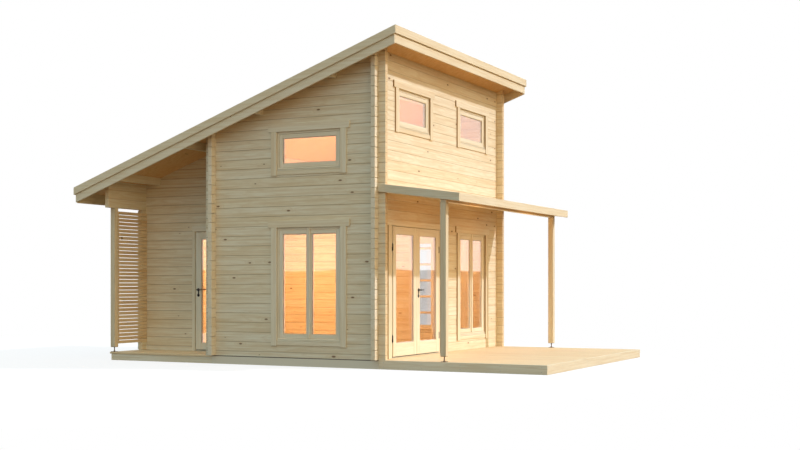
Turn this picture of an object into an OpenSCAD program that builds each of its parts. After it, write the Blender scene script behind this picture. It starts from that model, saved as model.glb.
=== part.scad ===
// Sauna cabin: a log cabin under a mono-pitch roof, with a corner porch behind a slatted screen, a terrace and a
// lean-to canopy over the front doors. Lengths are millimetres. The cabin is drawn with the front left corner of its
// walls at the origin and the deck top at z = 0, and place() then stands it on the ground, centred in plan.

/* [House] */
// Width across the outer faces of the two gable walls
house_w = 4550; // [4450:10:4700]
// Depth from the front wall's outer face to the back wall's outer face
house_d = 4890; // [4850:10:4950]
// Depth of the room in front of the porch, to the outer face of the cross wall
room_d = 2890; // [2860:10:2920]
// Depth of the corner porch, from the gable line to the recessed wall
porch_w = 840; // [820:10:860]

/* [Logs] */
// Thickness of a wall log
log_t = 70; // [60:1:80]
// Height of one course of logs
course_h = 145; // [144:0.5:146]
// Length of the log ends past a crossing wall
log_end = 110; // [100:1:115]
// Depth of the V groove at a joint between two courses
groove = 5; // [3:0.5:7]
// Courses below the lintel of the doors
door_courses = 14; // [14:1:14]
// Courses below the logs that carry the roof along the back
plate_courses = 16; // [16:1:16]

/* [Roof] */
// Height of the roof's front edge above the deck
roof_front_z = 4712; // [4690:1:4730]
// Height of the roof's back edge above the deck
roof_back_z = 2644; // [2630:1:2660]
// Overhang in front of the front wall
front_eave = 420; // [400:5:440]
// Overhang behind the back wall
back_eave = 490; // [470:5:510]
// Overhang past each gable wall
verge = 300; // [290:1:310]
// Height of the upper fascia board
upper_fascia_h = 118; // [110:1:125]
// Height from the roof's edge to the bottom of the lower fascia board
fascia_h = 248; // [240:1:255]
// Thickness of a fascia board
fascia_t = 25; // [20:1:28]
// Width of a purlin
purlin_w = 70; // [60:1:80]
// Height of a purlin
purlin_h = 100; // [95:1:120]
// Distance between two purlins
purlin_step = 1275; // [1270:1:1280]

/* [Deck] */
// Depth of the terrace in front of the house
terrace_d = 2550; // [2500:10:2600]
// Height of the deck's top above the ground
deck_h = 130; // [125:1:140]
// Thickness of the floor and deck boards
board_t = 28; // [25:1:32]
// Width of a floor joist
joist_w = 48; // [45:1:60]

/* [Windows] */
// Visible width of a window's glass
glass_w = 910; // [890:5:930]
// Height of the glass of an upper window
small_glass_h = 380; // [370:5:390]
// Height of the glass of a lower window
tall_glass_h = 1490; // [1480:5:1500]
// Height of a lower window's glass above the deck
tall_glass_z = 345; // [340:1:350]
// Height of a gable's upper glass above the deck
gable_glass_z = 2883; // [2870:1:2900]
// Height of the front's upper glass above the deck
front_glass_z = 3506; // [3490:1:3515]
// Distance of the front windows from the middle of the front
front_window_x = 1115; // [1110:1:1120]
// Distance of the gable windows from the front wall
gable_window_y = 1165; // [1150:5:1180]
// Width of a casing board
casing_w = 100; // [95:1:105]
// Thickness of a casing board
casing_t = 22; // [18:1:25]

/* [Doors] */
// Distance of the middle of the double door from the left corner
door_x = 1236; // [1230:1:1240]
// Width of a door leaf
leaf_w = 796; // [790:1:800]
// Height of a door leaf
leaf_h = 1920; // [1910:1:1922]
// Thickness of a door leaf
leaf_t = 45; // [42:1:50]
// Distance from the front wall to the near edge of the porch door's leaf
porch_leaf_y = 3000; // [2995:1:3005]
// Width of a leaf's stiles
stile_w = 100; // [95:1:105]
// Height of a leaf's top rail
top_rail = 108; // [100:1:115]
// Height of the bottom rail of the front doors
bottom_rail = 195; // [185:5:205]
// Height of the bottom rail of the porch door
porch_bottom_rail = 110; // [105:1:120]
// Height of the header board over a door
door_header_h = 90; // [85:1:95]
// Width of the gap around a leaf
leaf_gap = 5; // [5:0.5:6]

/* [Canopy] */
// Projection of the canopy from the front wall
canopy_d = 1276; // [1260:1:1290]
// Height of the canopy's edge at the wall
canopy_wall_z = 2529; // [2520:1:2540]
// Height of the canopy's front edge
canopy_front_z = 2355; // [2350:1:2360]
// Height of the canopy's fascia boards
canopy_fascia_h = 117; // [112:1:120]
// Side of a square post
post = 90; // [85:1:95]
// Distance from the front wall to the middle of the canopy posts
post_y = 1010; // [1000:5:1020]
// Height of the steel foot under a post
foot_h = 80; // [75:1:90]

/* [Porch screen] */
// Distance from one slat to the next
slat_step = 58; // [56:1:60]
// Height of a slat
slat_h = 47; // [44:1:50]
// Thickness of a slat
slat_t = 18; // [15:1:20]
// Height of the lowest slat above the deck
screen_z = 130; // [125:1:135]
// Number of slats
slats = 37; // [37:1:37]

/* [Loft ladder] */
// Distance from the front wall to the ladder's near stile
ladder_y = 1215; // [1200:5:1230]
// Width over the two stiles
ladder_w = 450; // [430:5:460]
// Height of the ladder above the floor
ladder_h = 2400; // [2350:10:2450]
// Distance from one rung to the next
rung_step = 290; // [280:5:295]

/* [Hidden] */
$fn = 32;

pine = "burlywood";
pale_pine = "wheat";
steel = "silver";
black = "dimgray";
pane = "lightsalmon";

// Places along the depth of the house
cross_y = room_d - log_t;
back_y = house_d - log_t;
roof_y0 = -front_eave;
roof_y1 = house_d + back_eave;
mid_y = (roof_y1 - terrace_d) / 2;
lintel_z = door_courses * course_h;
plate_z = plate_courses * course_h;
// A height above the whole cabin, and a length past its ends, for what cuts right through it
tall = 5000;
beyond = 1000;
// How far a cutter runs past the faces that it opens, and a piece into its own neighbour
cut = 1;

// Layers of the roof, as heights below its edge: the felt's top, the panel's top, the ceiling boards' top and bottom
felt_drop = 10;
panel_drop = 16;
boards_drop = 80;
ceiling_drop = 100;
// Room to fit between the ceiling boards and the logs that carry them
seat_gap = 0.1;
// Step down from the verge board's top to the lower board's
fascia_step = 6;

// Height of a roof layer above the deck, at a distance y from the front wall
function roof_z(y, drop) = roof_front_z - drop
    - (y - roof_y0) * (roof_front_z - roof_back_z) / (roof_y1 - roof_y0);

// Stands the drawn cabin on the ground, centred under its roof and terrace
module place() translate([-house_w / 2, -mid_y, deck_h]) children();

// ---- Logs -------------------------------------------------------------------------------------------------------

// Heights of the joints between courses in a wall piece; crossing walls are staggered by half a course
function joints(z0, z1, shift) =
    [for (z = [shift : course_h : z1]) if (z > z0 + groove && z < z1 - groove) z];

// Section of a wall piece across its logs: flat faces with a V groove at every joint
function log_section(z0, z1, shift) = let (rows = joints(z0, z1, shift), last = len(rows) - 1) concat(
    [[0, z0]],
    [for (z = rows) each [[0, z - groove], [groove, z], [0, z + groove]]],
    [[0, z1], [log_t, z1]],
    [for (i = [0 : last]) let (z = rows[last - i])
        each [[log_t, z + groove], [log_t - groove, z], [log_t, z - groove]]],
    [[log_t, z0]]);

// Logs along X from x0 to x1, with their front face at y
module logs_along_x(x0, x1, y, z0, z1)
    translate([x0, y, 0]) rotate([90, 0, 90]) linear_extrude(x1 - x0) polygon(log_section(z0, z1, course_h));

// Logs along Y from y0 to y1, with their left face at x
module logs_along_y(y0, y1, x, z0, z1)
    translate([x, y1, 0]) rotate([90, 0, 0]) linear_extrude(y1 - y0) polygon(log_section(z0, z1, course_h / 2));

// A layer that follows the roof, between two heights below its edge
module roof_layer(x0, x1, y0, y1, top_drop, bottom_drop)
    translate([x0, 0, 0]) rotate([90, 0, 90]) linear_extrude(x1 - x0) polygon([
        [y0, roof_z(y0, bottom_drop)], [y1, roof_z(y1, bottom_drop)],
        [y1, roof_z(y1, top_drop)], [y0, roof_z(y0, top_drop)]]);

// Everything above the ceiling, which cuts the tops of the walls
module above_ceiling() roof_layer(-beyond, house_w + beyond, roof_y0 - beyond, roof_y1 + beyond, -tall,
    ceiling_drop + seat_gap);

// ---- Windows ----------------------------------------------------------------------------------------------------

// A window is drawn facing -Y, with the middle of its glass's lower edge at the origin and the wall face at y = 0
frame_side = 109;
frame_top = 112;
frame_bottom = 120;
casing_gap = 89;
header_gap = 95;
header_h = 106;
header_over = 56;
header_cut = 14;
casing_drop = 178;
sill_top = 104;
sill_drop = 166;
sill_t = 14;
frame_depth = 8;
pane_y = 36;
pane_t = 24;
mullion_w = 92;
strip_w = 42;
strip_t = 12;

// The hole in the wall
module window_hole(glass_h)
    translate([-glass_w / 2 - frame_side, -cut, -frame_bottom])
        cube([glass_w + 2 * frame_side, log_t + 2 * cut, glass_h + frame_top + frame_bottom]);

// The fixed frame and the sashes, which leave the panes open
module window_frame(glass_h, double_sash) {
    difference() {
        translate([-glass_w / 2 - frame_side, frame_depth, -frame_bottom])
            cube([glass_w + 2 * frame_side, log_t - frame_depth, glass_h + frame_top + frame_bottom]);
        for (open = pane_spans(double_sash)) translate([open[0], -cut, 0])
            cube([open[1], log_t + 2 * cut, glass_h]);
    }
    if (double_sash) translate([-strip_w / 2, frame_depth - strip_t, -sill_top])
        cube([strip_w, strip_t, glass_h + header_gap + sill_top]);
}

// Start and width of each pane
function pane_spans(double_sash) = double_sash
    ? [[-glass_w / 2, (glass_w - mullion_w) / 2], [mullion_w / 2, (glass_w - mullion_w) / 2]]
    : [[-glass_w / 2, glass_w]];

module window_panes(glass_h, double_sash)
    for (open = pane_spans(double_sash)) translate([open[0], pane_y, 0]) cube([open[1], pane_t, glass_h]);

// Two side boards under a longer header with cut corners, and a thinner board below the frame
module window_casing(glass_h) {
    inner = glass_w / 2 + casing_gap;
    outer = inner + casing_w;
    head_x = outer + header_over;
    for (x = [-outer, inner]) translate([x, -casing_t, -casing_drop])
        cube([casing_w, casing_t, glass_h + header_gap + casing_drop]);
    header_board(head_x, glass_h + header_gap, header_h);
    translate([-inner, -sill_t, -sill_drop]) cube([2 * inner, sill_t, sill_drop - sill_top]);
}

// A header of half length head_x and height h, with its lower edge at z
module header_board(head_x, z, h)
    translate([0, 0, z]) rotate([90, 0, 0]) linear_extrude(casing_t) polygon([
        [-head_x + header_cut, 0], [head_x - header_cut, 0], [head_x, header_cut], [head_x, h],
        [-head_x, h], [-head_x, header_cut]]);

module on_front(x, z) translate([x, 0, z]) children();
module on_left_gable(y, z) translate([0, y, z]) rotate([0, 0, -90]) children();
module on_right_gable(y, z) translate([house_w, y, z]) rotate([0, 0, 90]) children();

// Every window of the cabin, as its place and its children drawn with the sizes of that window
front_windows_x = [house_w / 2 - front_window_x, house_w / 2 + front_window_x];

module all_small_windows() {
    for (x = front_windows_x) on_front(x, front_glass_z) children();
    on_left_gable(gable_window_y, gable_glass_z) children();
    on_right_gable(gable_window_y, gable_glass_z) children();
}

module all_tall_windows() {
    on_front(front_windows_x[1], tall_glass_z) children();
    on_left_gable(gable_window_y, tall_glass_z) children();
    on_right_gable(gable_window_y, tall_glass_z) children();
}

module all_window_holes() {
    all_small_windows() window_hole(small_glass_h);
    all_tall_windows() window_hole(tall_glass_h);
}

// ---- Doors ------------------------------------------------------------------------------------------------------

// A door is drawn facing -Y, with the hinge edge of its leaf at x = 0, the leaf running to +X and the wall face at
// y = 0. The right leaf of the front doors is its mirror image.
sill_h = 18;
jamb_w = 74;
porch_jamb_w = 40;
meeting_gap = 8;
pin_x = -leaf_gap / 2;
pin_y = -9;
knuckle_r = 7.5;
knuckle_h = 48;
knuckle_gap = 0.6;
hinge_web_t = 2;
hinge_plate_t = 1.5;
hinge_plate_h = 60;
hinge_plate_w = 26;
seat_plate_w = 11;
hinge_zs = [285, 1630];
handle_z = 1000;
handle_reach = 52;
handle_r = 9;
lever_l = 125;
rose_r = 25;
rose_t = 8;
key_plate_drop = 90;
door_glass_t = 24;
stop_w = 15;

front_leaf_x0 = door_x - leaf_w - meeting_gap / 2;
front_leaf_x1 = door_x + leaf_w + meeting_gap / 2;
front_hole_x0 = front_leaf_x0 - leaf_gap - jamb_w;
front_hole_x1 = front_leaf_x1 + leaf_gap + jamb_w;
porch_hole_y0 = porch_leaf_y - leaf_gap - porch_jamb_w;
porch_hole_y1 = porch_leaf_y + leaf_w + leaf_gap + porch_jamb_w;

module on_left_leaf() translate([front_leaf_x0, 0, 0]) children();
module on_right_leaf() translate([front_leaf_x1, 0, 0]) mirror([1, 0, 0]) children();
module on_porch_leaf() translate([porch_w, porch_leaf_y, 0]) rotate([0, 0, -90]) mirror([1, 0, 0]) children();

// The leaf without its glass
module leaf(rail_h) difference() {
    translate([0, 0, sill_h]) cube([leaf_w, leaf_t, leaf_h]);
    translate([stile_w, -cut, sill_h + rail_h])
        cube([leaf_w - 2 * stile_w, leaf_t + 2 * cut, leaf_h - rail_h - top_rail]);
}

module leaf_pane(rail_h)
    translate([stile_w, (leaf_t - door_glass_t) / 2, sill_h + rail_h])
        cube([leaf_w - 2 * stile_w, door_glass_t, leaf_h - rail_h - top_rail]);

// The half of each lift-off hinge that turns with the leaf, over the half that the frame carries
module leaf_hinges() for (z = hinge_zs) {
    translate([pin_x, pin_y, z + knuckle_gap]) cylinder(r = knuckle_r, h = knuckle_h);
    translate([pin_x, pin_y, z + knuckle_gap]) cube([hinge_web_t, -pin_y, knuckle_h]);
    translate([pin_x, -hinge_plate_t, z + knuckle_gap]) cube([hinge_plate_w, hinge_plate_t, hinge_plate_h]);
}

module frame_hinges() for (z = hinge_zs) {
    translate([pin_x, pin_y, z - knuckle_h]) cylinder(r = knuckle_r, h = knuckle_h);
    translate([pin_x - hinge_web_t, pin_y, z - knuckle_h]) cube([hinge_web_t, -pin_y, knuckle_h]);
    translate([pin_x - seat_plate_w, -hinge_plate_t, z - hinge_plate_h])
        cube([seat_plate_w, hinge_plate_t, hinge_plate_h]);
}

// A lever handle that points to the hinge side, on a round rose, with a key plate under it, outside and inside
module handle() {
    x = leaf_w - stile_w / 2;
    for (side = [[0, -1], [leaf_t, 1]]) translate([x, side[0], handle_z]) {
        rotate([-90 * side[1], 0, 0]) cylinder(r = rose_r, h = rose_t);
        rotate([-90 * side[1], 0, 0]) cylinder(r = handle_r, h = handle_reach);
        translate([0, side[1] * (handle_reach - handle_r), 0]) rotate([0, -90, 0])
            cylinder(r = handle_r, h = lever_l);
        translate([0, 0, -key_plate_drop]) rotate([-90 * side[1], 0, 0]) cylinder(r = rose_r, h = rose_t / 2);
        translate([-rose_r / 2, min(0, side[1] * hinge_plate_t), -key_plate_drop])
            cube([rose_r, hinge_plate_t, key_plate_drop]);
    }
}

// Jambs, head and threshold around a doorway of width w, whose hole starts at x = 0, with stops behind the leaf
module door_frame(w, side_w) {
    head_z = sill_h + leaf_h + leaf_gap;
    inside_w = w - 2 * side_w;
    stop_y = leaf_t + leaf_gap;
    for (x = [0, w - side_w]) translate([x, 0, 0]) cube([side_w, log_t, lintel_z]);
    translate([side_w, 0, head_z]) cube([inside_w, log_t, lintel_z - head_z]);
    translate([side_w, 0, 0]) cube([inside_w, log_t, sill_h - leaf_gap]);
    for (x = [side_w, w - side_w - stop_w]) translate([x, stop_y, 0]) cube([stop_w, log_t - stop_y, head_z]);
    translate([side_w, stop_y, head_z - stop_w]) cube([inside_w, log_t - stop_y, stop_w]);
}

door_casing_lap = 18;
porch_casing_w = 58;
porch_casing_lap = 30;
door_header_gap = 10;

// Side boards and header on the wall around a doorway whose hole runs from x0 to x1
module door_casing(x0, x1, side_w, lap, over) {
    head_bottom = sill_h + leaf_h + door_header_gap;
    for (x = [x0 + lap - side_w, x1 - lap]) translate([x, -casing_t, 0]) cube([side_w, casing_t, head_bottom]);
    middle = (x0 + x1) / 2;
    translate([middle, 0, 0]) header_board((x1 - x0) / 2 - lap + side_w + over, head_bottom, door_header_h);
}

// ---- Base and floors ----------------------------------------------------------------------------------------------

// A straight bearer or joist lying on the ground
module bearer(x0, x1, y0, y1, top) translate([x0, y0, -deck_h]) cube([x1 - x0, y1 - y0, deck_h + top]);

terrace_joists = 5;
porch_joists = 3;
room_joist_step = 560;
room_joists_before_middle = 2;
room_joists_past_middle = 5;
deck_lip = 12;
porch_edge_y = house_d - 2 * deck_lip - board_t;

module foundation_frame() color(pine) place() {
    // Sills under the walls
    bearer(0, log_t, 0, room_d, 0);
    bearer(house_w - log_t, house_w, 0, house_d, 0);
    bearer(0, house_w, 0, log_t, 0);
    bearer(0, porch_w + log_t, cross_y, room_d, 0);
    bearer(porch_w, porch_w + log_t, cross_y, house_d, 0);
    bearer(porch_w, house_w, back_y, house_d, 0);
    // Joists of the room; one passes under the middle of the cabin
    for (k = [-room_joists_before_middle : room_joists_past_middle]) let (y = mid_y + k * room_joist_step)
        bearer(y < room_d ? log_t : porch_w + log_t, house_w - log_t, y - joist_w / 2, y + joist_w / 2, -board_t);
    // Joists of the terrace
    for (k = [0 : terrace_joists - 1]) let (y = -terrace_d + board_t + k * (terrace_d - board_t) / terrace_joists)
        bearer(board_t, house_w - board_t, y, y + joist_w, -board_t);
    // Joists of the porch
    for (k = [1 : porch_joists]) let (y = room_d + k * (porch_edge_y - room_d) / porch_joists - joist_w)
        bearer(board_t + deck_lip, porch_w, y, y + joist_w, -board_t);
}

// Boards on edge round the terrace, flush with its top, and under the lip of the porch deck
module edge_boards() color(pine) place() {
    bearer(0, board_t, -terrace_d, 0, 0);
    bearer(house_w - board_t, house_w, -terrace_d, 0, 0);
    bearer(board_t, house_w - board_t, -terrace_d, -terrace_d + board_t, 0);
    bearer(deck_lip, deck_lip + board_t, room_d, porch_edge_y, -board_t);
    bearer(deck_lip, porch_w, porch_edge_y, porch_edge_y + board_t, -board_t);
}

module deck_slab(x0, x1, y0, y1) translate([x0, y0, -board_t]) cube([x1 - x0, y1 - y0, board_t]);

module terrace_deck() color(pale_pine) place() deck_slab(board_t, house_w - board_t, -terrace_d + board_t, 0);

module porch_deck() color(pale_pine) place() deck_slab(0, porch_w, room_d, house_d);

module room_floor() color(pale_pine) place() {
    deck_slab(log_t, house_w - log_t, log_t, cross_y);
    deck_slab(porch_w + log_t, house_w - log_t, cross_y - cut, back_y);
}

// ---- Walls --------------------------------------------------------------------------------------------------------

module front_wall_left() color(pale_pine) place() logs_along_x(log_t, front_hole_x0, 0, 0, lintel_z);

module front_wall_right() color(pale_pine) place() difference() {
    logs_along_x(front_hole_x1, house_w - log_t, 0, 0, lintel_z);
    all_window_holes();
}

module front_wall_upper() color(pale_pine) place() difference() {
    logs_along_x(log_t, house_w - log_t, 0, lintel_z, tall);
    above_ceiling();
    all_window_holes();
}

module gable(y1, x) difference() {
    logs_along_y(-log_end, y1, x, 0, tall);
    above_ceiling();
    all_window_holes();
    purlin_bars();
}

module left_gable_wall() color(pine) place() gable(room_d + log_end, 0);

module right_gable_wall() color(pine) place() gable(house_d + log_end, house_w - log_t);

module cross_wall() color(pine) place() difference() {
    logs_along_x(log_t, porch_w, cross_y, 0, tall);
    above_ceiling();
}

module porch_wall_front() color(pine) place()
    logs_along_y(cross_y - log_end, porch_hole_y0, porch_w, 0, lintel_z);

module porch_wall_back() color(pine) place() logs_along_y(porch_hole_y1, back_y, porch_w, 0, lintel_z);

module porch_wall_upper() color(pine) place() difference() {
    logs_along_y(cross_y - log_end, back_y, porch_w, lintel_z, tall);
    above_ceiling();
    purlin_bars();
}

module back_wall() color(pine) place() logs_along_x(porch_w - log_end, house_w - log_t, back_y, 0, plate_z);

// The top logs of the back wall run on over the porch and carry the roof there
module back_plate_logs() color(pine) place() difference() {
    logs_along_x(-log_end, house_w - log_t, back_y, plate_z, tall);
    above_ceiling();
}

// The ends of the front, cross and back walls' logs past the walls that they cross
module log_ends() color(pine) place() {
    difference() {
        union() {
            for (x = [-log_end, house_w]) logs_along_x(x, x + log_end, 0, 0, tall);
            for (x = [-log_end, porch_w + log_t]) logs_along_x(x, x + log_end, cross_y, 0, tall);
            logs_along_x(house_w, house_w + log_end, back_y, 0, tall);
        }
        above_ceiling();
    }
    logs_along_y(house_d, house_d + log_end, porch_w, 0, plate_z);
}

// ---- Roof ---------------------------------------------------------------------------------------------------------

purlin_y0 = 690;
purlin_count = 4;
purlin_end = verge - 2 * fascia_t;

// Purlins along X, with their tops cut to the slope of the ceiling
module purlin_bars() for (k = [0 : purlin_count - 1]) let (y = purlin_y0 + k * purlin_step)
    difference() {
        translate([-purlin_end, y, roof_z(y + purlin_w, ceiling_drop) - purlin_h])
            cube([house_w + 2 * purlin_end, purlin_w, 2 * purlin_h]);
        above_ceiling();
    }

module purlins() color(pine) place() purlin_bars();

module roof_sheet(top_drop, bottom_drop, edge)
    roof_layer(-verge + edge, house_w + verge - edge, roof_y0 + edge, roof_y1 - edge, top_drop, bottom_drop);

module roof_boards() color(pale_pine) place() roof_sheet(boards_drop, ceiling_drop, 2 * fascia_t);

module roof_panel() color("tan") place() roof_sheet(panel_drop, boards_drop, 2 * fascia_t);

module roof_felt() color("darkgray") place() roof_sheet(felt_drop, panel_drop, 2 * fascia_t);

// A double fascia down one verge: a tall board against the roof and a lower one lapped over its top
module verge_fascia(outer, inner) {
    roof_layer(min(outer, (outer + inner) / 2), max(outer, (outer + inner) / 2), roof_y0, roof_y1,
        0, upper_fascia_h);
    roof_layer(min(inner, (outer + inner) / 2), max(inner, (outer + inner) / 2), roof_y0 + fascia_t,
        roof_y1 - fascia_t, fascia_step, fascia_h);
}

module gable_fascias() color(pine) place() {
    verge_fascia(-verge, -purlin_end);
    verge_fascia(house_w + verge, house_w + purlin_end);
}

// The same along an eave, plumb, between the boards of the verges
module eave_fascia(edge_z, outer, inner) {
    between = (outer + inner) / 2;
    inset = verge - fascia_t;
    translate([-inset, min(outer, between), edge_z - upper_fascia_h])
        cube([house_w + 2 * inset, fascia_t, upper_fascia_h]);
    translate([-purlin_end, min(inner, between), edge_z - fascia_h])
        cube([house_w + 2 * purlin_end, fascia_t, fascia_h - fascia_step]);
}

module eaves_fascias() color(pine) place() {
    eave_fascia(roof_front_z, roof_y0, roof_y0 + 2 * fascia_t);
    eave_fascia(roof_back_z, roof_y1, roof_y1 - 2 * fascia_t);
}

// ---- Canopy and porch ---------------------------------------------------------------------------------------------

canopy_over = 35;
beam_inset = 10;
beam_blank_h = 500;
canopy_inset = canopy_over - fascia_t;
canopy_board_t = 20;
canopy_top_drop = 6;
ledger_w = 45;
ledger_h = 95;
fit_gap = 2;

function canopy_z(y, drop) = canopy_wall_z - drop + y * (canopy_wall_z - canopy_front_z) / canopy_d;

beam_z = canopy_z(-canopy_d, canopy_fascia_h);

module canopy_layer(x0, x1, y0, y1, top_drop, bottom_drop)
    translate([x0, 0, 0]) rotate([90, 0, 90]) linear_extrude(x1 - x0) polygon([
        [y0, canopy_z(y0, bottom_drop)], [y1, canopy_z(y1, bottom_drop)],
        [y1, canopy_z(y1, top_drop)], [y0, canopy_z(y0, top_drop)]]);

// The gable walls' log ends beside the canopy, with room to fit
module gable_log_end_room() for (x = [0, house_w - log_t])
    translate([x - fit_gap, -log_end - fit_gap, 0]) cube([log_t + 2 * fit_gap, log_end + 2 * fit_gap, tall]);

module canopy_beams() color(pine) place() difference() {
    union() {
        translate([log_t + fit_gap, -ledger_w, canopy_z(-ledger_w, ledger_h)])
            cube([house_w - 2 * log_t - 2 * fit_gap, ledger_w, beam_blank_h]);
        translate([beam_inset, -post_y - post / 2, beam_z]) cube([house_w - 2 * beam_inset, post, beam_blank_h]);
    }
    canopy_layer(-beyond, house_w + beyond, -2 * canopy_d, canopy_d, -tall, canopy_top_drop + canopy_board_t);
}

module canopy_boards() color(pale_pine) place() difference() {
    canopy_layer(-canopy_inset, house_w + canopy_inset, -canopy_d + fascia_t, 0, canopy_top_drop,
        canopy_top_drop + canopy_board_t);
    gable_log_end_room();
}

module canopy_fascias() color(pine) place() {
    for (x = [-canopy_over, house_w + canopy_inset])
        canopy_layer(x, x + fascia_t, -canopy_d, 0, 0, canopy_fascia_h);
    translate([-canopy_inset, -canopy_d, canopy_front_z - canopy_fascia_h])
        cube([house_w + 2 * canopy_inset, fascia_t, canopy_fascia_h]);
}

// Posts under the canopy's front beam and under the top logs behind the porch
canopy_post_xs = [beam_inset, house_w - beam_inset - post];
porch_post_x = 30;
porch_post_y = back_y + (log_t - post) / 2;

module posts() color(pine) place() {
    for (x = canopy_post_xs) translate([x, -post_y - post / 2, foot_h]) cube([post, post, beam_z - foot_h]);
    translate([porch_post_x, porch_post_y, foot_h]) cube([post, post, plate_z - foot_h]);
}

foot_rod_r = 9;
foot_plate = 80;
foot_plate_t = 5;
foot_nut_h = 12;

// A threaded rod between two plates, so that a post can be let down as the logs settle
module post_foot() {
    for (z = [0, foot_h - foot_plate_t]) translate([-foot_plate / 2, -foot_plate / 2, z])
        cube([foot_plate, foot_plate, foot_plate_t]);
    cylinder(r = foot_rod_r, h = foot_h);
    translate([0, 0, foot_plate_t]) cylinder(r = 2 * foot_rod_r, h = foot_nut_h, $fn = 6);
}

module post_feet() color(steel) place() {
    for (x = canopy_post_xs) translate([x + post / 2, -post_y, 0]) post_foot();
    translate([porch_post_x + post / 2, porch_post_y + post / 2, 0]) post_foot();
}

batten_w = 30;
batten_t = 50;
screen_x0 = porch_post_x + post;
screen_x1 = porch_w - fit_gap;
screen_y = back_y - slat_t - fit_gap;

// Slats between the post and the recessed wall, on an upright batten behind them
module porch_screen() color(pale_pine) place() {
    for (k = [0 : slats - 1]) translate([screen_x0, screen_y, screen_z + k * slat_step])
        cube([screen_x1 - screen_x0, slat_t, slat_h]);
    translate([screen_x0, screen_y + slat_t, screen_z])
        cube([batten_w, batten_t, (slats - 1) * slat_step + slat_h]);
}

// ---- Windows and doors in their walls -----------------------------------------------------------------------------

module window_casings() color(pine) place() {
    all_small_windows() window_casing(small_glass_h);
    all_tall_windows() window_casing(tall_glass_h);
}

module window_frames() color(pale_pine) place() {
    all_small_windows() window_frame(small_glass_h, false);
    all_tall_windows() window_frame(tall_glass_h, true);
}

module window_glass() color(pane) place() {
    all_small_windows() window_panes(small_glass_h, false);
    all_tall_windows() window_panes(tall_glass_h, true);
}

module front_door_frame() color(pale_pine) place()
    translate([front_hole_x0, 0, 0]) door_frame(front_hole_x1 - front_hole_x0, jamb_w);

module porch_door_frame() color(pale_pine) place()
    translate([porch_w, porch_hole_y0, 0]) rotate([0, 0, -90]) mirror([1, 0, 0])
        door_frame(porch_hole_y1 - porch_hole_y0, porch_jamb_w);

module door_casings() color(pine) place() {
    door_casing(front_hole_x0, front_hole_x1, casing_w, door_casing_lap, header_over);
    translate([porch_w, 0, 0]) rotate([0, 0, -90]) mirror([1, 0, 0])
        door_casing(porch_hole_y0, porch_hole_y1, porch_casing_w, porch_casing_lap, 0);
}

module hinge_seats() color(black) place() {
    on_left_leaf() frame_hinges();
    on_right_leaf() frame_hinges();
    on_porch_leaf() frame_hinges();
}

module left_leaf() color(pale_pine) place() on_left_leaf() leaf(bottom_rail);

module left_leaf_glass() color(pane) place() on_left_leaf() leaf_pane(bottom_rail);

module left_leaf_hinges() color(black) place() on_left_leaf() leaf_hinges();

module right_leaf() color(pale_pine) place() on_right_leaf() leaf(bottom_rail);

module right_leaf_glass() color(pane) place() on_right_leaf() leaf_pane(bottom_rail);

module right_leaf_hardware() color(black) place() on_right_leaf() {
    leaf_hinges();
    handle();
}

module porch_leaf() color(pale_pine) place() on_porch_leaf() leaf(porch_bottom_rail);

module porch_leaf_glass() color(pane) place() on_porch_leaf() leaf_pane(porch_bottom_rail);

module porch_leaf_hardware() color(black) place() on_porch_leaf() {
    leaf_hinges();
    handle();
}

// ---- Inside -------------------------------------------------------------------------------------------------------

ladder_stile_t = 35;
ladder_stile_w = 70;
rung_r = 20;
rungs = 7;

// A ladder that stands upright on the floor against the right gable wall
module loft_ladder() color(pine) place() translate([house_w - log_t - ladder_stile_w, ladder_y, 0]) {
    for (y = [0, ladder_w - ladder_stile_t]) translate([0, y, 0]) cube([ladder_stile_w, ladder_stile_t, ladder_h]);
    for (k = [1 : rungs]) translate([ladder_stile_w / 2, ladder_stile_t / 2, k * rung_step]) rotate([-90, 0, 0])
        cylinder(r = rung_r, h = ladder_w - ladder_stile_t);
}

foundation_frame();
edge_boards();
terrace_deck();
porch_deck();
room_floor();
front_wall_left();
front_wall_right();
front_wall_upper();
left_gable_wall();
right_gable_wall();
cross_wall();
porch_wall_front();
porch_wall_back();
porch_wall_upper();
back_wall();
back_plate_logs();
log_ends();
purlins();
roof_boards();
roof_panel();
roof_felt();
gable_fascias();
eaves_fascias();
canopy_beams();
canopy_boards();
canopy_fascias();
posts();
post_feet();
porch_screen();
window_casings();
window_frames();
window_glass();
front_door_frame();
porch_door_frame();
door_casings();
hinge_seats();
left_leaf();
left_leaf_glass();
left_leaf_hinges();
right_leaf();
right_leaf_glass();
right_leaf_hardware();
porch_leaf();
porch_leaf_glass();
porch_leaf_hardware();
loft_ladder();
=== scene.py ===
"""Looks of the sauna cabin: boards, joinery, glazing, ironmongery and finishes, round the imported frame.

Every piece is drawn in house coordinates, in metres: the front left corner of the walls is the origin, +X runs
along the front, +Y into the house, and z = 0 is the top of the decks. A piece is moved to the frame when it is
finished.
"""

from __future__ import annotations

import logging
import math
import random
from dataclasses import dataclass, field
from enum import Enum
from typing import Callable, Iterable, Optional, Sequence

import bmesh
import bpy
from mathutils import Matrix, Vector

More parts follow.
